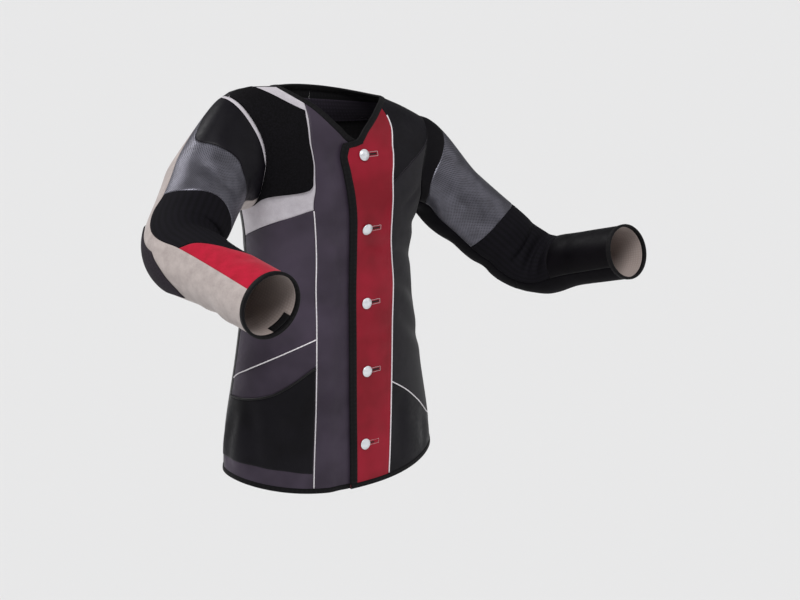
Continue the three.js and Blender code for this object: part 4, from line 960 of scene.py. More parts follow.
# %% The body's panels
BODY_CREASES = {
    "centre": [(-6, 0.46, -30, 0.5, 2.2, 9, 6), (-10, 0.60, -26, 0.63, 1.6, 8, -4),
               (-14, 0.30, -27, 0.25, 1.6, 10, 5), (-22, 0.12, -24, 0.32, 1.4, 9, 3)],
    "side": [(-29, 0.50, -70, 0.46, 2.6, 10, 8), (-40, 0.60, -84, 0.52, 2.4, 11, -8),
             (-30, 0.43, -60, 0.37, 1.8, 9, 5)],
    "hip": [(-40, 0.02, -46, 0.20, 2.4, 13, 6), (-66, 0.03, -74, 0.24, 2.6, 14, -6),
            (-92, 0.02, -88, 0.2, 2.2, 12, 5)],
    "yoke": [(-33, 0.74, -44, 0.70, 1.2, 8, 3)],
    "upper": [(30, 0.9, 46, 0.93, 1.6, 12, 3)],
    "mid": [(26, 0.72, 46, 0.78, 2.4, 11, -6), (28, 0.60, 74, 0.52, 2.8, 12, 10),
            (27, 0.50, 66, 0.42, 2.6, 11, 8), (30, 0.42, 84, 0.30, 2.4, 12, -9),
            (44, 0.66, 88, 0.60, 2.0, 10, 5)],
    "low": [(22, 0.03, 24, 0.22, 2.0, 12, 5), (46, 0.02, 44, 0.13, 2.0, 12, -5),
            (72, 0.01, 68, 0.08, 1.8, 11, 3)],
    "placket": [(-2, 0.62, 18, 0.6, 1.4, 9, 3), (2, 0.40, 20, 0.38, 1.4, 9, -3),
                (6, 0.2, 14, 0.1, 1.2, 9, 3)],
    "back_left": [(104, 0.55, 152, 0.5, 5.0, 11, 10), (112, 0.62, 164, 0.66, 4.6, 12, -9),
                  (118, 0.4, 168, 0.44, 4.2, 10, 8), (128, 0.05, 136, 0.32, 4.4, 14, 9),
                  (126, 0.78, 152, 0.87, 3.4, 11, 7), (108, 0.48, 130, 0.45, 3.2, 8, -4)],
    "back_right": [(194, 0.52, 250, 0.56, 5.2, 12, -10), (192, 0.65, 242, 0.61, 4.4, 11, 8),
                   (200, 0.43, 246, 0.39, 4.0, 10, 9), (224, 0.04, 226, 0.3, 4.6, 15, -9),
                   (206, 0.86, 234, 0.77, 3.4, 11, -7), (228, 0.49, 248, 0.46, 3.0, 8, 4)],
}
panel("right_front_centre", "grey_leather", centre_patch, on_lap, rows=BODY_CREASES["centre"])
panel("right_front_side", "grey_leather", side_patch, on_body, rows=BODY_CREASES["side"])
panel("right_front_hip", "grey_leather", hip_patch, on_body, rows=BODY_CREASES["hip"])
panel("right_yoke", "white_suede", yoke_patch, on_body, rows=BODY_CREASES["yoke"])
panel("left_front_placket", "red_leather", placket_patch, on_body, rows=BODY_CREASES["placket"])
panel("left_front_upper", "black_leather", upper_patch, on_body, rows=BODY_CREASES["upper"])
panel("left_front_middle", "black_suede", mid_patch, on_body, rows=BODY_CREASES["mid"])
panel("left_front_lower", "black_leather", low_patch, on_body, rows=BODY_CREASES["low"])
panel("back_left", "black_leather", back_patch, on_body, 7.0, BODY_CREASES["back_left"], (0, 0.5, 0, 1))
panel("back_right", "black_leather", back_patch, on_body, 7.0, BODY_CREASES["back_right"], (0.5, 1, 0, 1))
print({name: [round(side) for side in size[:2]] for name, size in FLAT_SIZES.items()})

# %% The sleeves' panels
SLEEVE_CREASES = {
    "left": {
        "cap": [],
        "band": [(20, 0.12, 90, 0.18, 1.8, 10, 6), (30, 0.30, 110, 0.24, 1.6, 10, -5)],
        "elbow": [(20, 0.46, 120, 0.43, 2.6, 9, 7), (10, 0.52, 126, 0.53, 2.8, 9, -6),
                  (30, 0.58, 124, 0.60, 2.4, 9, 5), (40, 0.40, 110, 0.385, 1.8, 8, 3)],
        "forearm": [(20, 0.76, 120, 0.72, 1.2, 11, 5)],
        "under": [(160, 0.24, 250, 0.28, 2.4, 12, 8), (170, 0.40, 230, 0.42, 2.8, 10, -6),
                  (180, 0.52, 230, 0.5, 3.0, 10, 6), (230, 0.68, 330, 0.74, 2.2, 12, 8),
                  (200, 0.84, 300, 0.8, 2, 12, -7)],
    },
    "right": {
        "cap": [(10, 0.05, 80, 0.09, 1.2, 10, 4)],
        "band": [(10, 0.2, 110, 0.24, 1.8, 10, 6)],
        "elbow": [(40, 0.44, 134, 0.42, 2.6, 9, 6), (50, 0.5, 134, 0.52, 3.0, 9, -6),
                  (44, 0.58, 132, 0.6, 2.2, 9, 5), (10, 0.4, 80, 0.38, 1.6, 9, 3)],
        "forearm": [(10, 0.82, 60, 0.88, 1.4, 10, 4)],
        "under": [(150, 0.14, 240, 0.2, 2.2, 12, 8), (150, 0.36, 220, 0.4, 2.6, 10, -6),
                  (160, 0.56, 214, 0.54, 2.8, 10, 5), (200, 0.76, 300, 0.82, 2.2, 12, 8),
                  (160, 0.9, 240, 0.86, 1.8, 11, -5)],
    },
}
SLEEVE_NODES = {
    "right": [("right_sleeve_cap", "black_leather", "cap"), ("right_sleeve_band", "silver_mesh", "band"),
              ("right_sleeve_elbow", "stretch_cloth", "elbow"),
              ("right_forearm_top", "red_suede", "forearm")],
    "left": [("left_sleeve_cap", "black_leather", "cap"), ("left_sleeve_band", "silver_mesh", "band"),
             ("left_sleeve_elbow", "stretch_cloth", "elbow"), ("left_forearm", "black_leather", "forearm")],
}
UNDER_SLOT = {"right": "beige_suede", "left": "black_suede"}
SLEEVE_FINISH = {"left_forearm": "sleeve_leather", "left_sleeve_under": "sleeve_suede",
                 "left_forearm_under": "sleeve_suede", "left_sleeve_cap": "sleeve_leather"}
for name, nodes in SLEEVE_NODES.items():
    for node, slot, part_name in nodes:
        panel(node, slot, CUT[name][part_name], ON_ARM[name], 4.0, SLEEVE_CREASES[name][part_name],
              scale=SLEEVE_SCALE, finish_name=SLEEVE_FINISH.get(node))
    cut_at = PLANS[name]["elbow_row"] / sum(PLANS[name]["counts"])
    parts = {f"{name}_sleeve_under": (0, 1, 0, cut_at), f"{name}_forearm_under": (0, 1, cut_at, 1)}
    for node, part in parts.items():
        panel(node, UNDER_SLOT[name], CUT[name]["under"], ON_ARM[name], 4.5, SLEEVE_CREASES[name]["under"],
              part, SLEEVE_SCALE, finish_name=SLEEVE_FINISH.get(node))
print("sleeve pieces:", sum(len(nodes) + 2 for nodes in SLEEVE_NODES.values()))

# %% [markdown]
# ## Laid on the panels
# The shoulder pad, elbow pad, pocket and armhole band are sewn on top, so they are made on the same
# patches, moved out by the wall below them. A lining stands inside each cuff and inside the neck.

# %% Overlays and linings
ON_TOP = 1.3               # over the middle of the cloth below, in millimetres
LINING_THICK = 1.0
BACK_ROWS = 24             # the back's rings, from hem to neck
UNDER_ROWS = 14            # a sleeve's, from armhole to cuff
CUFF_INNER_END = 0.985


class Shape(Patch):
    """A cut shape laid on a patch: its left and right sides over y, and its foot and head over x."""

    def __init__(self, patch, left, right, foot, head):
        self.patch, self.sides = patch, [left, right, foot, head]

    def __call__(self, x, y):
        left, right, foot, head = self.sides
        v = np.interp(x, *foot) * (1 - y) + np.interp(x, *head) * y
        u = np.interp(y, *left) * (1 - x) + np.interp(y, *right) * x
        return self.patch(u, v)

    def places(self, shares, ends):
        return shares


pad_shape = Shape(yoke_patch, ([0, 0.04, 1], [0.13, 0.07, 0.07]), ([0, 0.05, 1], [0.86, 0.93, 0.93]),
                  ([0, 0.1, 0.55, 0.9, 1], [0.2, 0.165, 0.13, 0.105, 0.13]), ([0, 1], [0.86, 0.86]))
panel("right_shoulder_pad", "grip_rubber", pad_shape, on_body, 4.0, low=ON_TOP, high=ON_TOP + 2.4, roll=1.6,
      crown=1.0)
mouth_line = line_across(at(right_seam, 0.328), at(r_side, 0.222), pocket_mouth)
pocket_patch = Patch(line_across(at(right_seam, 0.056), at(r_side, 0.053), pocket_foot), mouth_line,
                     Edge(right_seam, [0.056, 0.328]), Edge(r_side, [0.053, 0.222]))
panel("right_pocket", "black_leather", pocket_patch, on_body, 5.0, BODY_CREASES["hip"], (0.012, 0.99, 0, 1),
      low=ON_TOP, high=ON_TOP + 1.6)
panel("back_neck_facing", "grey_lining", back_patch, on_body, 5.0,
      part=(0.01, 0.99, 21 / BACK_ROWS, 23.4 / BACK_ROWS),
      low=-ON_TOP - 1.2, high=-ON_TOP, lining="grey_lining")
band_shape = Shape(CUT["right"]["cap"], ([0, 1], [0.1, 0.1]), ([0, 1], [0.7, 0.7]),
                   ([0, 1], [0.01, 0.01]), ([0, 0.5, 0.9, 1], [0.13, 0.14, 0.1, 0.04]))
panel("right_armhole_band", "white_suede", band_shape, ON_ARM["right"], 3.0, scale=SLEEVE_SCALE, low=ON_TOP,
      high=ON_TOP + 1.0, roll=0.5)
elbow_shape = Shape(CUT["right"]["under"], ([0, 1], [0.6, 0.6]), ([0, 0.66, 1], [0.9, 0.91, 0.72]),
                    ([0, 1], [6 / UNDER_ROWS, 6 / UNDER_ROWS]),
                    ([0, 0.7, 1], [10 / UNDER_ROWS, 10 / UNDER_ROWS, 9.8 / UNDER_ROWS]))
panel("right_elbow_pad", "grip_rubber", elbow_shape, ON_ARM["right"], 4.0, SLEEVE_CREASES["right"]["under"],
      scale=SLEEVE_SCALE, low=ON_TOP, high=ON_TOP + 2.2, roll=1.4, finish_name="elbow_rubber")


def ring_shell(node, slot, place, s_from, s_to, low, high, rows):
    """A closed band round the inside of a cuff, with the creases of the cloth round it."""
    k = np.linspace(0, 360, 97)[:-1]
    inner_s = np.linspace(s_from + 0.01, s_to - 0.01, 24)
    s = np.concatenate([[s_from, s_from + 0.002], inner_s, [s_to - 0.002, s_to]])
    a, b = np.meshgrid(k, s)
    p, n = place(a, b)
    lift = sum(creases(a + turn, b, rows, SLEEVE_SCALE) for turn in (-360, 0, 360))[..., None]
    outer, inner = p + n * (high + lift), p + n * (low + lift)
    name = f"{node}_cloth"
    around, deep = np.diff(outer[-1], axis=0), np.diff(outer[:, 0], axis=0)
    FLAT_SIZES[name] = (*(np.linalg.norm(way, axis=1).sum() for way in (around, deep)), grid_area(outer))
    piece = wall(name, np.stack([a, b], -1), p, n, outer, inner, [M[slot]], SLEEVE_SCALE, wrap=True)
    declare(piece, node)


for name, s_from in (("right", 0.68), ("left", 0.66)):
    ring_shell(f"{name}_cuff_lining", "cream_lining", ON_ARM[name], s_from, CUFF_INNER_END,
               -ON_TOP - LINING_THICK, -ON_TOP,
               SLEEVE_CREASES[name]["under"] + SLEEVE_CREASES[name]["forearm"])
lining_size = [round(side) for side in FLAT_SIZES["left_cuff_lining_cloth"][:2]]
print("the left cuff's lining is", lining_size, "mm round and deep")

# %% [markdown]
# ## Bindings and pipings
# A binding is a tape folded over a raw edge. Its section is a flat U, carried along the edge; where it lies
# on the panel it must follow the panel, so every point is looked up on the surface again. A piping is a
# cord caught in a seam: a round section along the seam line.

# %% Sections carried along an edge
TAPE_HEIGHT, SLOT_HALF = 2.3, 1.08


def tape_section(width):
    """Across the tape: distance in from the edge, and height over the middle of the wall."""
    outer = [(width, 1.2), (width - 0.5, 1.8), (width - 1.6, 2.05), (width * 0.5, 2.2), (1.2, TAPE_HEIGHT),
             (0.2, 2.15), (-0.7, 1.6), (-1.2, 0.7), (-1.3, 0)]
    under = [(w, -h) for w, h in reversed(outer[:-1])]
    slot = [(width, -SLOT_HALF), (width * 0.5, -SLOT_HALF), (0.4, -SLOT_HALF)]
    return np.array(outer + under + slot + [(w, -h) for w, h in reversed(slot)])


def oval_section(half_width, half_height, middle):
    a = np.linspace(0, 2 * math.pi, 13)[:-1]
    return np.stack([half_width * np.cos(a), middle + half_height * np.sin(a)], -1)


CORD = oval_section(1.05, 1.05, 1.1)
POCKET_ROLL = oval_section(2.0, 1.5, 2.6)
PROBE_A, PROBE_B = 0.4, 0.0008      # steps over the surface that measure its two ways


class Line:
    """A run of points on a surface, with the way in from the edge at each."""

    def __init__(self, domain, place, closed=False, flip=1):
        self.domain, self.place, self.flip = np.asarray(domain, float), place, flip
        self.p, self.n = place(*self.domain.T)
        if closed:
            ahead = np.roll(self.p, -1, 0) - np.roll(self.p, 1, 0)
        else:
            ahead = np.gradient(self.p, axis=0)
        self.ahead = unit(ahead)
        self.inward = unit(np.cross(self.n, self.ahead)) * flip
        a, b = self.domain.T
        along_a = place(a + PROBE_A, b)[0] - place(a - PROBE_A, b)[0]
        along_b = place(a, b + PROBE_B)[0] - place(a, b - PROBE_B)[0]
        basis = np.stack([along_a / (2 * PROBE_A), along_b / (2 * PROBE_B)], -1)
        self.step = np.array([np.linalg.lstsq(m, v, rcond=None)[0] for m, v in zip(basis, self.inward)])

    def at(self, w, h):
        if w <= 0.01:
            return self.p + self.inward * w + self.n * h
        spot, normal = self.place(*(self.domain + self.step * w).T)
        return spot + normal * h


def even(curve, step, start=0.0, end=1.0, place=on_body):
    """Domain points along a curve (a function of 0 to 1), evenly spaced in millimetres."""
    x = np.linspace(start, end, 400)
    domain = curve(x)
    passed = np.concatenate([[0], np.cumsum(np.linalg.norm(np.diff(place(*domain.T)[0], axis=0), axis=1))])
    count = max(int(passed[-1] / step), 2)
    return curve(np.interp(np.linspace(0, passed[-1], count + 1), passed, x))


def sweep(name, lines, section, material, closed=False):
    """A bar of the given section through one or more lines, end to end."""
    rings = np.concatenate([np.stack([line.at(w, h) for w, h in section], 1) for line in lines])
    count, size = rings.shape[:2]
    faces = (grid_faces(count + closed, size, wrap=True) % (count * size)).tolist()
    if not closed:
        faces += [list(range(size))[::-1], [(count - 1) * size + i for i in range(size)]]
    passed = np.concatenate([[0], np.cumsum(np.linalg.norm(np.diff(rings[:, 0], axis=0), axis=1))])
    round_it = np.concatenate([[0], np.cumsum(np.linalg.norm(np.diff(section, axis=0), axis=1))])
    uv = np.stack(np.broadcast_arrays(round_it[None, :], passed[:, None]), -1).reshape(-1, 2)
    piece = add_mesh(name, rings.reshape(-1, 3), faces, [material], uv)
    face_out(piece.data)
    return piece


# %% Bindings over the edges
def tape(node, lines, width, closed=False):
    piece = sweep(f"{node}_tape", lines, tape_section(width), M["black_binding"], closed)
    declare(piece, node)


def on_line(curve, first, end):
    """A curve of one value as a curve of 0 to 1."""
    return lambda x: curve(first + (end - first) * x)


NECK_WIDTH, FRONT_WIDTH, HEM_WIDTH, CUFF_WIDTH = 9, 12.5, 8, 7
NECK_FRONT, NECK_SIDE, NECK_END = -12, 90, 305       # angles round the neck's edge
HEM_FRONT, HEM_SEAM = -7, -27                       # and where the right front's lap begins at the hem
EDGE_FOOT = 0.0125
neck_body = np.concatenate([
    even(on_line(lambda angle: np.stack([angle, left_neck(angle)], -1), NECK_FRONT, NECK_SIDE), 4.0),
    even(on_line(lambda angle: np.stack([angle, 1 + 0 * angle], -1), NECK_SIDE, NECK_END), 4.0)[1:]])
neck_lap = even(lambda x: centre_rule(1 - x, np.ones_like(x)), 4.0, 0.01, 1.0, on_lap)
tape("neck_binding", [Line(neck_body, on_body, flip=-1), Line(neck_lap, on_lap, flip=-1)], NECK_WIDTH)


def hem_edge(angle):
    return np.stack([angle, 0 * angle], -1)


hem_body = even(on_line(hem_edge, HEM_FRONT, 360 + HEM_SEAM), 5.0)
hem_lap = even(on_line(hem_edge, HEM_SEAM, RIGHT_EDGE), 4.0, 0.02, 1.0, on_lap)
tape("hem_binding", [Line(hem_body, on_body), Line(hem_lap, on_lap)], HEM_WIDTH)

edge_points = even(on_line(front_edge, EDGE_FOOT, CORNER_T - 0.001), 5.0)
tape("front_edge_binding", [Line(edge_points, on_body, flip=-1)], FRONT_WIDTH)

for name in ARMS:
    ring_k = np.arange(0, 360, 4.0)
    cuff = Line(np.stack([ring_k, np.ones_like(ring_k)], -1), ON_ARM[name], closed=True)
    inside = (ON_ARM[name](np.zeros(1), np.full(1, 0.9))[0] - cuff.p[0]) @ cuff.inward[0]
    if inside[0] < 0:
        cuff = Line(cuff.domain, ON_ARM[name], closed=True, flip=-1)
    tape(f"{name}_cuff_binding", [cuff], CUFF_WIDTH, closed=True)

# %% Pipings along the seams
def piping(node, domain, place=on_body):
    piece = sweep(f"{node}_cord", [Line(domain, place)], CORD, M["white_piping"])
    declare(piece, node)


PIPING_FOOT = 0.014
piping("right_front_piping", even(on_line(right_seam, PIPING_FOOT, 0.713), 4.0))
piping("left_front_piping", even(on_line(left_seam, PIPING_FOOT, 0.978), 4.0))
piping("right_hip_piping", even(hip_top, 4.0, 0.01, 0.985))
piping("left_curved_piping", even(low_top, 4.0, 0.01, 0.985))

# %% The rolled edge of the pocket
mouth = even(mouth_line, 4.0, 0.02, 0.985)
pocket_edge = sweep("right_pocket_edge", [Line(mouth, on_body)], POCKET_ROLL, M["turned_edge_and_slit_shade"])
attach(pocket_edge, "root")
print("the pocket's mouth is about", (len(mouth) - 1) * 4, "mm long")

# %% [markdown]
# ## Buttons and buttonholes
# The buttons are stamped metal domes, turned from one profile. Each sits over the start of a buttonhole, a
# slit with a rectangle of stitching round it, which shows to the wearer's left of the button. The slit's gap
# is painted shade: a dark strip raised over the placket.

# %% Buttons turned from a profile
BUTTONS = [(3, 0.924, 0), (2, 0.66, 9), (3, 0.468, 0), (2, 0.3, 0), (0, 0.116, 0)]     # angle, t, tilt
DOME = [(0.9, -3.4), (0.9, 0.1), (8.7, 0.1), (9.3, 0.3), (9.6, 0.8), (9.5, 1.3), (9.0, 1.7), (8.4, 1.9),
        (7.9, 2.2), (6.9, 3.1), (5.3, 4.0), (3.4, 4.6), (1.5, 4.9)]
SEAT, PEAK = 1.8, 4.95      # a dome's foot over the cloth's middle, and its top over the foot


def button_frame(angle, t):
    p, n = on_body(np.float64(angle), np.float64(t))
    sideways = unit(np.cross([0, 0, 1], n))
    return p, n, sideways, np.cross(n, sideways)


for number, (angle, t, tilt) in enumerate(BUTTONS, 1):
    p, n, sideways, upwards = button_frame(angle, t)
    a = math.radians(tilt)
    face, over = n * math.cos(a) - upwards * math.sin(a), upwards * math.cos(a) + n * math.sin(a)
    turn = np.radians(ROUND)
    rings = [p + n * SEAT + sideways * (r * np.cos(turn))[:, None] + (over if z >= 0 else upwards)
             * (r * np.sin(turn))[:, None] + (face if z >= 0 else n) * z for r, z in DOME]
    points = np.concatenate([*rings, [rings[0].mean(0)], [p + n * SEAT + face * PEAK]])
    size, low, high = len(turn), len(points) - 2, len(points) - 1
    top = low - size
    faces = grid_faces(len(DOME), size, wrap=True).tolist()
    faces += [[low, (i + 1) % size, i] for i in range(size)]
    faces += [[high, top + i, top + (i + 1) % size] for i in range(size)]
    piece = add_mesh(f"button_{number}_dome", points, faces, [M["button_metal"]])
    declare(piece, f"button_{number}")
print("buttons are", 2 * max(r for r, _ in DOME), "mm across")

# %% [markdown]
# ## Stitches
# A row of stitches follows a seam at a steady pitch, so Geometry Nodes lays it: a line is resampled by
# length, and one small stitch is placed on each point, turned along the line and square to the cloth.

# %% The stitching tree
def stitching_tree():
    tree = bpy.data.node_groups.new("stitching", "GeometryNodeTree")
    tree.interface.new_socket("Line", in_out="INPUT", socket_type="NodeSocketGeometry")
    for name, kind, value in (("Pitch", "NodeSocketFloat", 0.0032), ("Length", "NodeSocketFloat", 0.0024),
                              ("Thickness", "NodeSocketFloat", 0.0005)):
        tree.interface.new_socket(name, in_out="INPUT", socket_type=kind).default_value = value
    tree.interface.new_socket("Thread", in_out="INPUT", socket_type="NodeSocketMaterial")
    tree.interface.new_socket("Stitches", in_out="OUTPUT", socket_type="NodeSocketGeometry")
    given = add_node(tree, "NodeGroupInput").outputs
    curve = add_node(tree, "GeometryNodeMeshToCurve", {"Mesh": given["Line"]}).outputs[0]
    resample = add_node(tree, "GeometryNodeResampleCurve", {"Curve": curve}, mode="LENGTH")
    tree.links.new(given["Pitch"], resample.inputs["Length"])
    up_way = add_node(tree, "GeometryNodeInputNamedAttribute", {"Name": "outward"}, data_type="FLOAT_VECTOR")
    tangent = add_node(tree, "GeometryNodeInputTangent").outputs[0]
    lengthwise = add_node(tree, "FunctionNodeAlignRotationToVector", {"Vector": tangent}, axis="X").outputs[0]
    upright = add_node(tree, "FunctionNodeAlignRotationToVector",
                       {"Rotation": lengthwise, "Vector": up_way.outputs["Attribute"]}, axis="Z",
                       pivot_axis="X").outputs[0]
    stitch = add_node(tree, "GeometryNodeMeshIcoSphere", {"Radius": 0.5, "Subdivisions": 1}).outputs[0]
    half = add_node(tree, "ShaderNodeCombineXYZ", {"X": given["Length"], "Y": given["Thickness"],
                                                   "Z": given["Thickness"]}).outputs[0]
    shaped = add_node(tree, "GeometryNodeTransform", {"Geometry": stitch, "Scale": half}).outputs[0]
    placed = add_node(tree, "GeometryNodeInstanceOnPoints",
                      {"Points": resample.outputs[0], "Instance": shaped, "Rotation": upright}).outputs[0]
    real = add_node(tree, "GeometryNodeRealizeInstances", {"Geometry": placed}).outputs[0]
    thread = {"Geometry": real, "Material": given["Thread"]}
    dyed = add_node(tree, "GeometryNodeSetMaterial", thread).outputs[0]
    add_node(tree, "NodeGroupOutput", {"Stitches": dyed})
    return tree


STITCHING = stitching_tree()
INPUTS = {item.name: item.identifier for item in STITCHING.interface.items_tree if item.in_out == "INPUT"}


def thread(name, code, roughness=0.6):
    """Bonded polyester thread: a round, slightly shiny strand with a faint twist."""
    material, tree, shader, where = start_material(name, roughness, **{"Specular IOR Level": 0.4})
    twist = add_node(tree, "ShaderNodeTexNoise", {"Vector": where, "Scale": per_mm(0.8), "Detail": 2,
                                                  "Roughness": 0.55}).outputs["Fac"]
    shade = tuple(0.8 * channel for channel in linear(code)[:3]) + (1,)
    colour = add_node(tree, "ShaderNodeMix", {"Factor": twist, "A": shade, "B": linear(code)},
                      data_type="RGBA").outputs["Result"]
    finish(tree, shader, colour, [(twist, 0.3, 0.1)])
    return material


THREADS = {"black": thread("black thread", "#1a181b"), "grey": thread("grey thread", "#57515b"),
           "red": thread("red thread", "#b8324a"), "white": thread("white thread", "#cfcacb")}


def stitches(name, runs, colour, pitch=3.2, length=2.5, thickness=0.5):
    """Rows of stitches over runs of points and outward directions, in millimetres."""
    points = np.concatenate([p for p, _ in runs])
    normals = np.concatenate([n for _, n in runs])
    edges, start = [], 0
    for p, _ in runs:
        edges += [(start + i, start + i + 1) for i in range(len(p) - 1)]
        start += len(p)
    mesh = bpy.data.meshes.new(name)
    mesh.from_pydata((points * MM).tolist(), edges, [])
    outward = mesh.attributes.new("outward", "FLOAT_VECTOR", "POINT")
    outward.data.foreach_set("vector", normals.astype(np.float32).ravel())
    piece = add_to_scene(name, mesh)
    modifier = piece.modifiers.new("stitching", "NODES")
    modifier.node_group = STITCHING
    for key, value in (("Pitch", pitch * MM), ("Length", length * MM), ("Thickness", thickness * MM),
                       ("Thread", THREADS[colour])):
        modifier[INPUTS[key]] = value
    depsgraph = bpy.context.evaluated_depsgraph_get()
    sewn = bpy.data.meshes.new_from_object(piece.evaluated_get(depsgraph))
    piece.modifiers.clear()
    piece.data = sewn
    sewn.polygons.foreach_set("use_smooth", np.ones(len(sewn.polygons), bool))
    bpy.data.meshes.remove(mesh)
    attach(piece, "root")
    print(name, "has", len(sewn.polygons), "faces")


def inset(patch, place, side, distance, height, start=0.01, end=0.99, rows=(), scale=BODY_SCALE):
    """A run along one side of a patch, so many millimetres in from its seam."""
    width, tall = patch.size(place)
    line = np.linspace(start, end, 220)
    share = distance / (width if side in ("left", "right") else tall)
    share = share if side in ("left", "bottom") else 1 - share
    steady = patch.places(np.full_like(line, share), 0 if side in ("left", "right") else 2)
    domain = patch(steady, line) if side in ("left", "right") else patch(line, steady)
    a, b = domain[..., 0], domain[..., 1]
    p, n = place(a, b)
    lift = creases(a, b, rows, scale) if len(rows) else 0 * a
    return p + n * (height + lift)[:, None], n

# %% Rows of stitches
TOP = 1.12             # over the middle of the cloth
STITCH_IN = 3.2        # from the seam
right_runs = [inset(centre_patch, on_lap, "right", STITCH_IN, TOP, 0.02, 0.97, BODY_CREASES["centre"]),
              inset(side_patch, on_body, "top", 3.0, TOP, rows=BODY_CREASES["side"]),
              inset(hip_patch, on_body, "top", STITCH_IN, TOP, rows=BODY_CREASES["hip"])]
placket_run = [inset(placket_patch, on_body, "right", STITCH_IN, TOP, 0.02, 0.96, BODY_CREASES["placket"])]
left_runs = [inset(mid_patch, on_body, "left", STITCH_IN, TOP, rows=BODY_CREASES["mid"]),
             inset(low_patch, on_body, "left", STITCH_IN, TOP, rows=BODY_CREASES["low"]),
             inset(low_patch, on_body, "top", STITCH_IN, TOP, rows=BODY_CREASES["low"]),
             inset(upper_patch, on_body, "left", STITCH_IN, TOP, rows=BODY_CREASES["upper"])]
cut_run = [inset(upper_patch, on_body, "bottom", 2.2, TOP, rows=BODY_CREASES["upper"])]
stitches("right_front_stitches", right_runs, "grey")
stitches("placket_stitches", placket_run, "red")
stitches("left_front_stitches", left_runs, "black")
stitches("shoulder_stitches", cut_run, "grey")

# %% Buttonholes
HOLE_FROM, HOLE_TO, HOLE_HALF = 2.0, 29.0, 3.7
THREAD_HEIGHT, TALL = 1.15, 640      # over the cloth's middle, and the millimetres in one unit of t
SLIT_SECTION = [(-1.5, 1.0), (-1.2, 1.35), (1.2, 1.35), (1.5, 1.0)]     # across the slit, and the height
SLIT_SHORT, SIDE_POINTS, SLIT_POINTS = 2.6, 14, 12
CORNERS = [(HOLE_FROM, -HOLE_HALF), (HOLE_TO, -HOLE_HALF), (HOLE_TO, HOLE_HALF), (HOLE_FROM, HOLE_HALF)]


def on_placket(angle, t, x, y, height=THREAD_HEIGHT):
    """Points on the placket itself, by distances along and across the buttonhole of one button."""
    p, n, sideways, upwards = button_frame(angle, t)
    spot = p + sideways * x[:, None] + upwards * y[:, None]
    near = angle + np.linspace(-4, 30, 60)
    reach = (on_body(near, np.full(60, t))[0] - p) @ sideways
    surface = on_body(np.interp(x, reach, near), t + y / TALL)[0]
    drop = ((surface - spot) @ n)[:, None] * n
    return spot + drop + n * height


holes, slit_shade_points, slit_shade_faces = [], [], []
for angle, t, _ in BUTTONS:
    line = np.concatenate([
        on_placket(angle, t, np.linspace(x0, x1, SIDE_POINTS), np.linspace(y0, y1, SIDE_POINTS))
        for (x0, y0), (x1, y1) in zip(CORNERS, CORNERS[1:])])
    holes.append((line, np.broadcast_to(button_frame(angle, t)[1], line.shape)))
    # The slit is not cut: a dark strip raised over the placket is painted shade where its gap is.
    slit_shade_faces += (grid_faces(len(SLIT_SECTION), SLIT_POINTS) + len(slit_shade_points)).tolist()
    x = np.linspace(HOLE_FROM, HOLE_TO - SLIT_SHORT, SLIT_POINTS)
    for y, height in SLIT_SECTION:
        slit_shade_points += on_placket(angle, t, x, 0 * x + y, height).tolist()
stitches("buttonhole_stitches", holes, "white", 1.5, 1.5, 0.9)
# Painted shade: one dark strip for each slit, standing in for its shaded gap.
slit_shade_piece = add_mesh("buttonhole_slit_painted_shade", slit_shade_points, slit_shade_faces, [M["turned_edge_and_slit_shade"]], smooth=False)
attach(slit_shade_piece, "root")

# %% The tab in the right cuff
TAB_K, TAB_S = (158, 202), (0.958, 0.988)
TAB_LIFT, TAB_THIN, TAB_PUFF = 2.6, 3.2, 1.6      # under the cuff's middle: its face, its edge and its swell
MARGIN_K, MARGIN_S = 1, 0.002
tab_k, tab_s = np.meshgrid(np.linspace(*TAB_K, 30), np.concatenate([
    [TAB_S[0], TAB_S[0] + MARGIN_S], np.linspace(0.963, 0.982, 7), [TAB_S[1] - MARGIN_S, TAB_S[1]]]))


def swell(value, ends, margin):
    share = (value - ends[0] + margin) / (ends[1] - ends[0] + 2 * margin)
    return np.sin(np.pi * share) ** 0.4


middle, normal = ON_ARM["right"](tab_k, tab_s)
puff = swell(tab_k, TAB_K, MARGIN_K) * swell(tab_s, TAB_S, MARGIN_S)
tab = wall("right_cuff_tab_tape", np.stack([tab_k, tab_s], -1), middle, normal, middle - normal * TAB_LIFT,
           middle - normal * (TAB_THIN + TAB_PUFF * puff)[..., None], [M["black_binding"]], SLEEVE_SCALE)
declare(tab, "right_cuff_tab")
print("the tab:", tab.data.name, "has", len(tab.data.polygons), "faces")

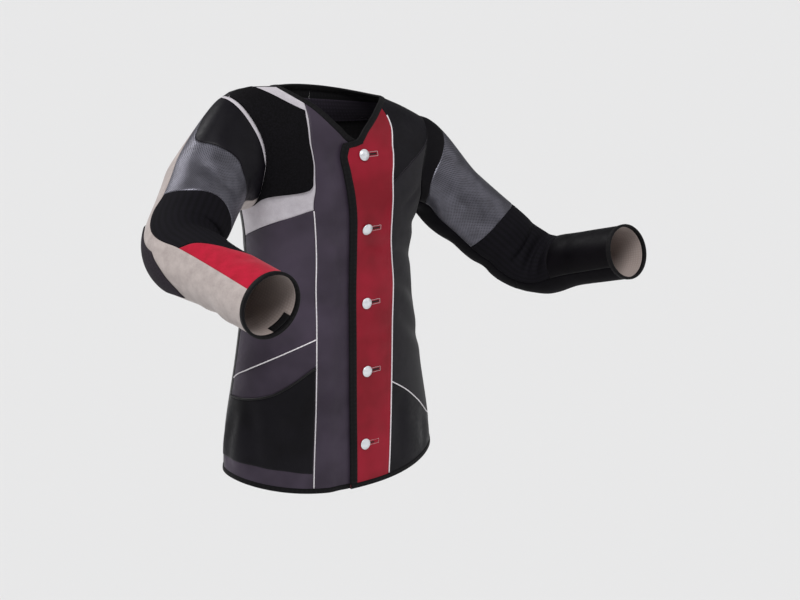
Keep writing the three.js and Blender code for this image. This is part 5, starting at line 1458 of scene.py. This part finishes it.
# %% [markdown]
# ## Camera, light and floor
# The camera stands a little to the wearer's right and above, at the distance of a studio portrait. A broad
# soft sun from the upper front, two weaker ones and a pale surround light the jacket, over a pale floor far
# below it.

# %% Camera
AIM, AZIMUTH, ELEVATION, DISTANCE = (0.103, -0.069, -0.358), -36, 15, 2.4
LENS, SENSOR, FARTHEST = 62.06, 36, 200


def way_to(azimuth, elevation):
    """The direction of something seen at an angle from the front and a height, both in degrees."""
    a, e = math.radians(azimuth), math.radians(elevation)
    return Vector((math.sin(a) * math.cos(e), -math.cos(a) * math.cos(e), math.sin(e)))


back_way = way_to(AZIMUTH, ELEVATION)
camera = add_to_scene("camera", bpy.data.cameras.new("camera"))
camera.data.lens = LENS
camera.data.sensor_width = SENSOR
camera.location = Vector(AIM) + back_way * DISTANCE
camera.rotation_mode = "QUATERNION"
camera.rotation_quaternion = (-back_way).to_track_quat("-Z", "Y")
camera.data.clip_end = FARTHEST
bpy.context.scene.camera = camera
bpy.context.scene.view_settings.view_transform = "Standard"

# %% Light and floor
def sun(name, azimuth, elevation, strength, softness):
    lamp = bpy.data.lights.new(name, "SUN")
    lamp.energy, lamp.angle = strength, math.radians(softness)
    add_to_scene(name, lamp).rotation_euler = way_to(azimuth, elevation).to_track_quat("Z", "Y").to_euler()


sun("key", -48, 52, 2.3, 30)
sun("fill", 50, 30, 0.5, 60)
sun("rim", -150, 40, 1.2, 30)
world = bpy.data.worlds.new("studio")
world.use_nodes = True
surround = world.node_tree.nodes["Background"].inputs
surround["Color"].default_value = (0.8, 0.8, 0.82, 1)
surround["Strength"].default_value = 0.24
bpy.context.scene.world = world

SPAN, FLOOR_Z = 400_000, -3000
floor_corners = [(x, y, FLOOR_Z) for x, y in ((-SPAN, -SPAN), (SPAN, -SPAN), (SPAN, SPAN), (-SPAN, SPAN))]
paper, _, shader, _ = start_material("pale studio paper", 1.0, **{"Specular IOR Level": 0.0})
shader.inputs["Base Color"].default_value = linear("#dfdfdf")
add_mesh("floor", floor_corners, [(0, 1, 2, 3)], [paper], smooth=False)

# %% Size and finish
low, high = CAD_BOX
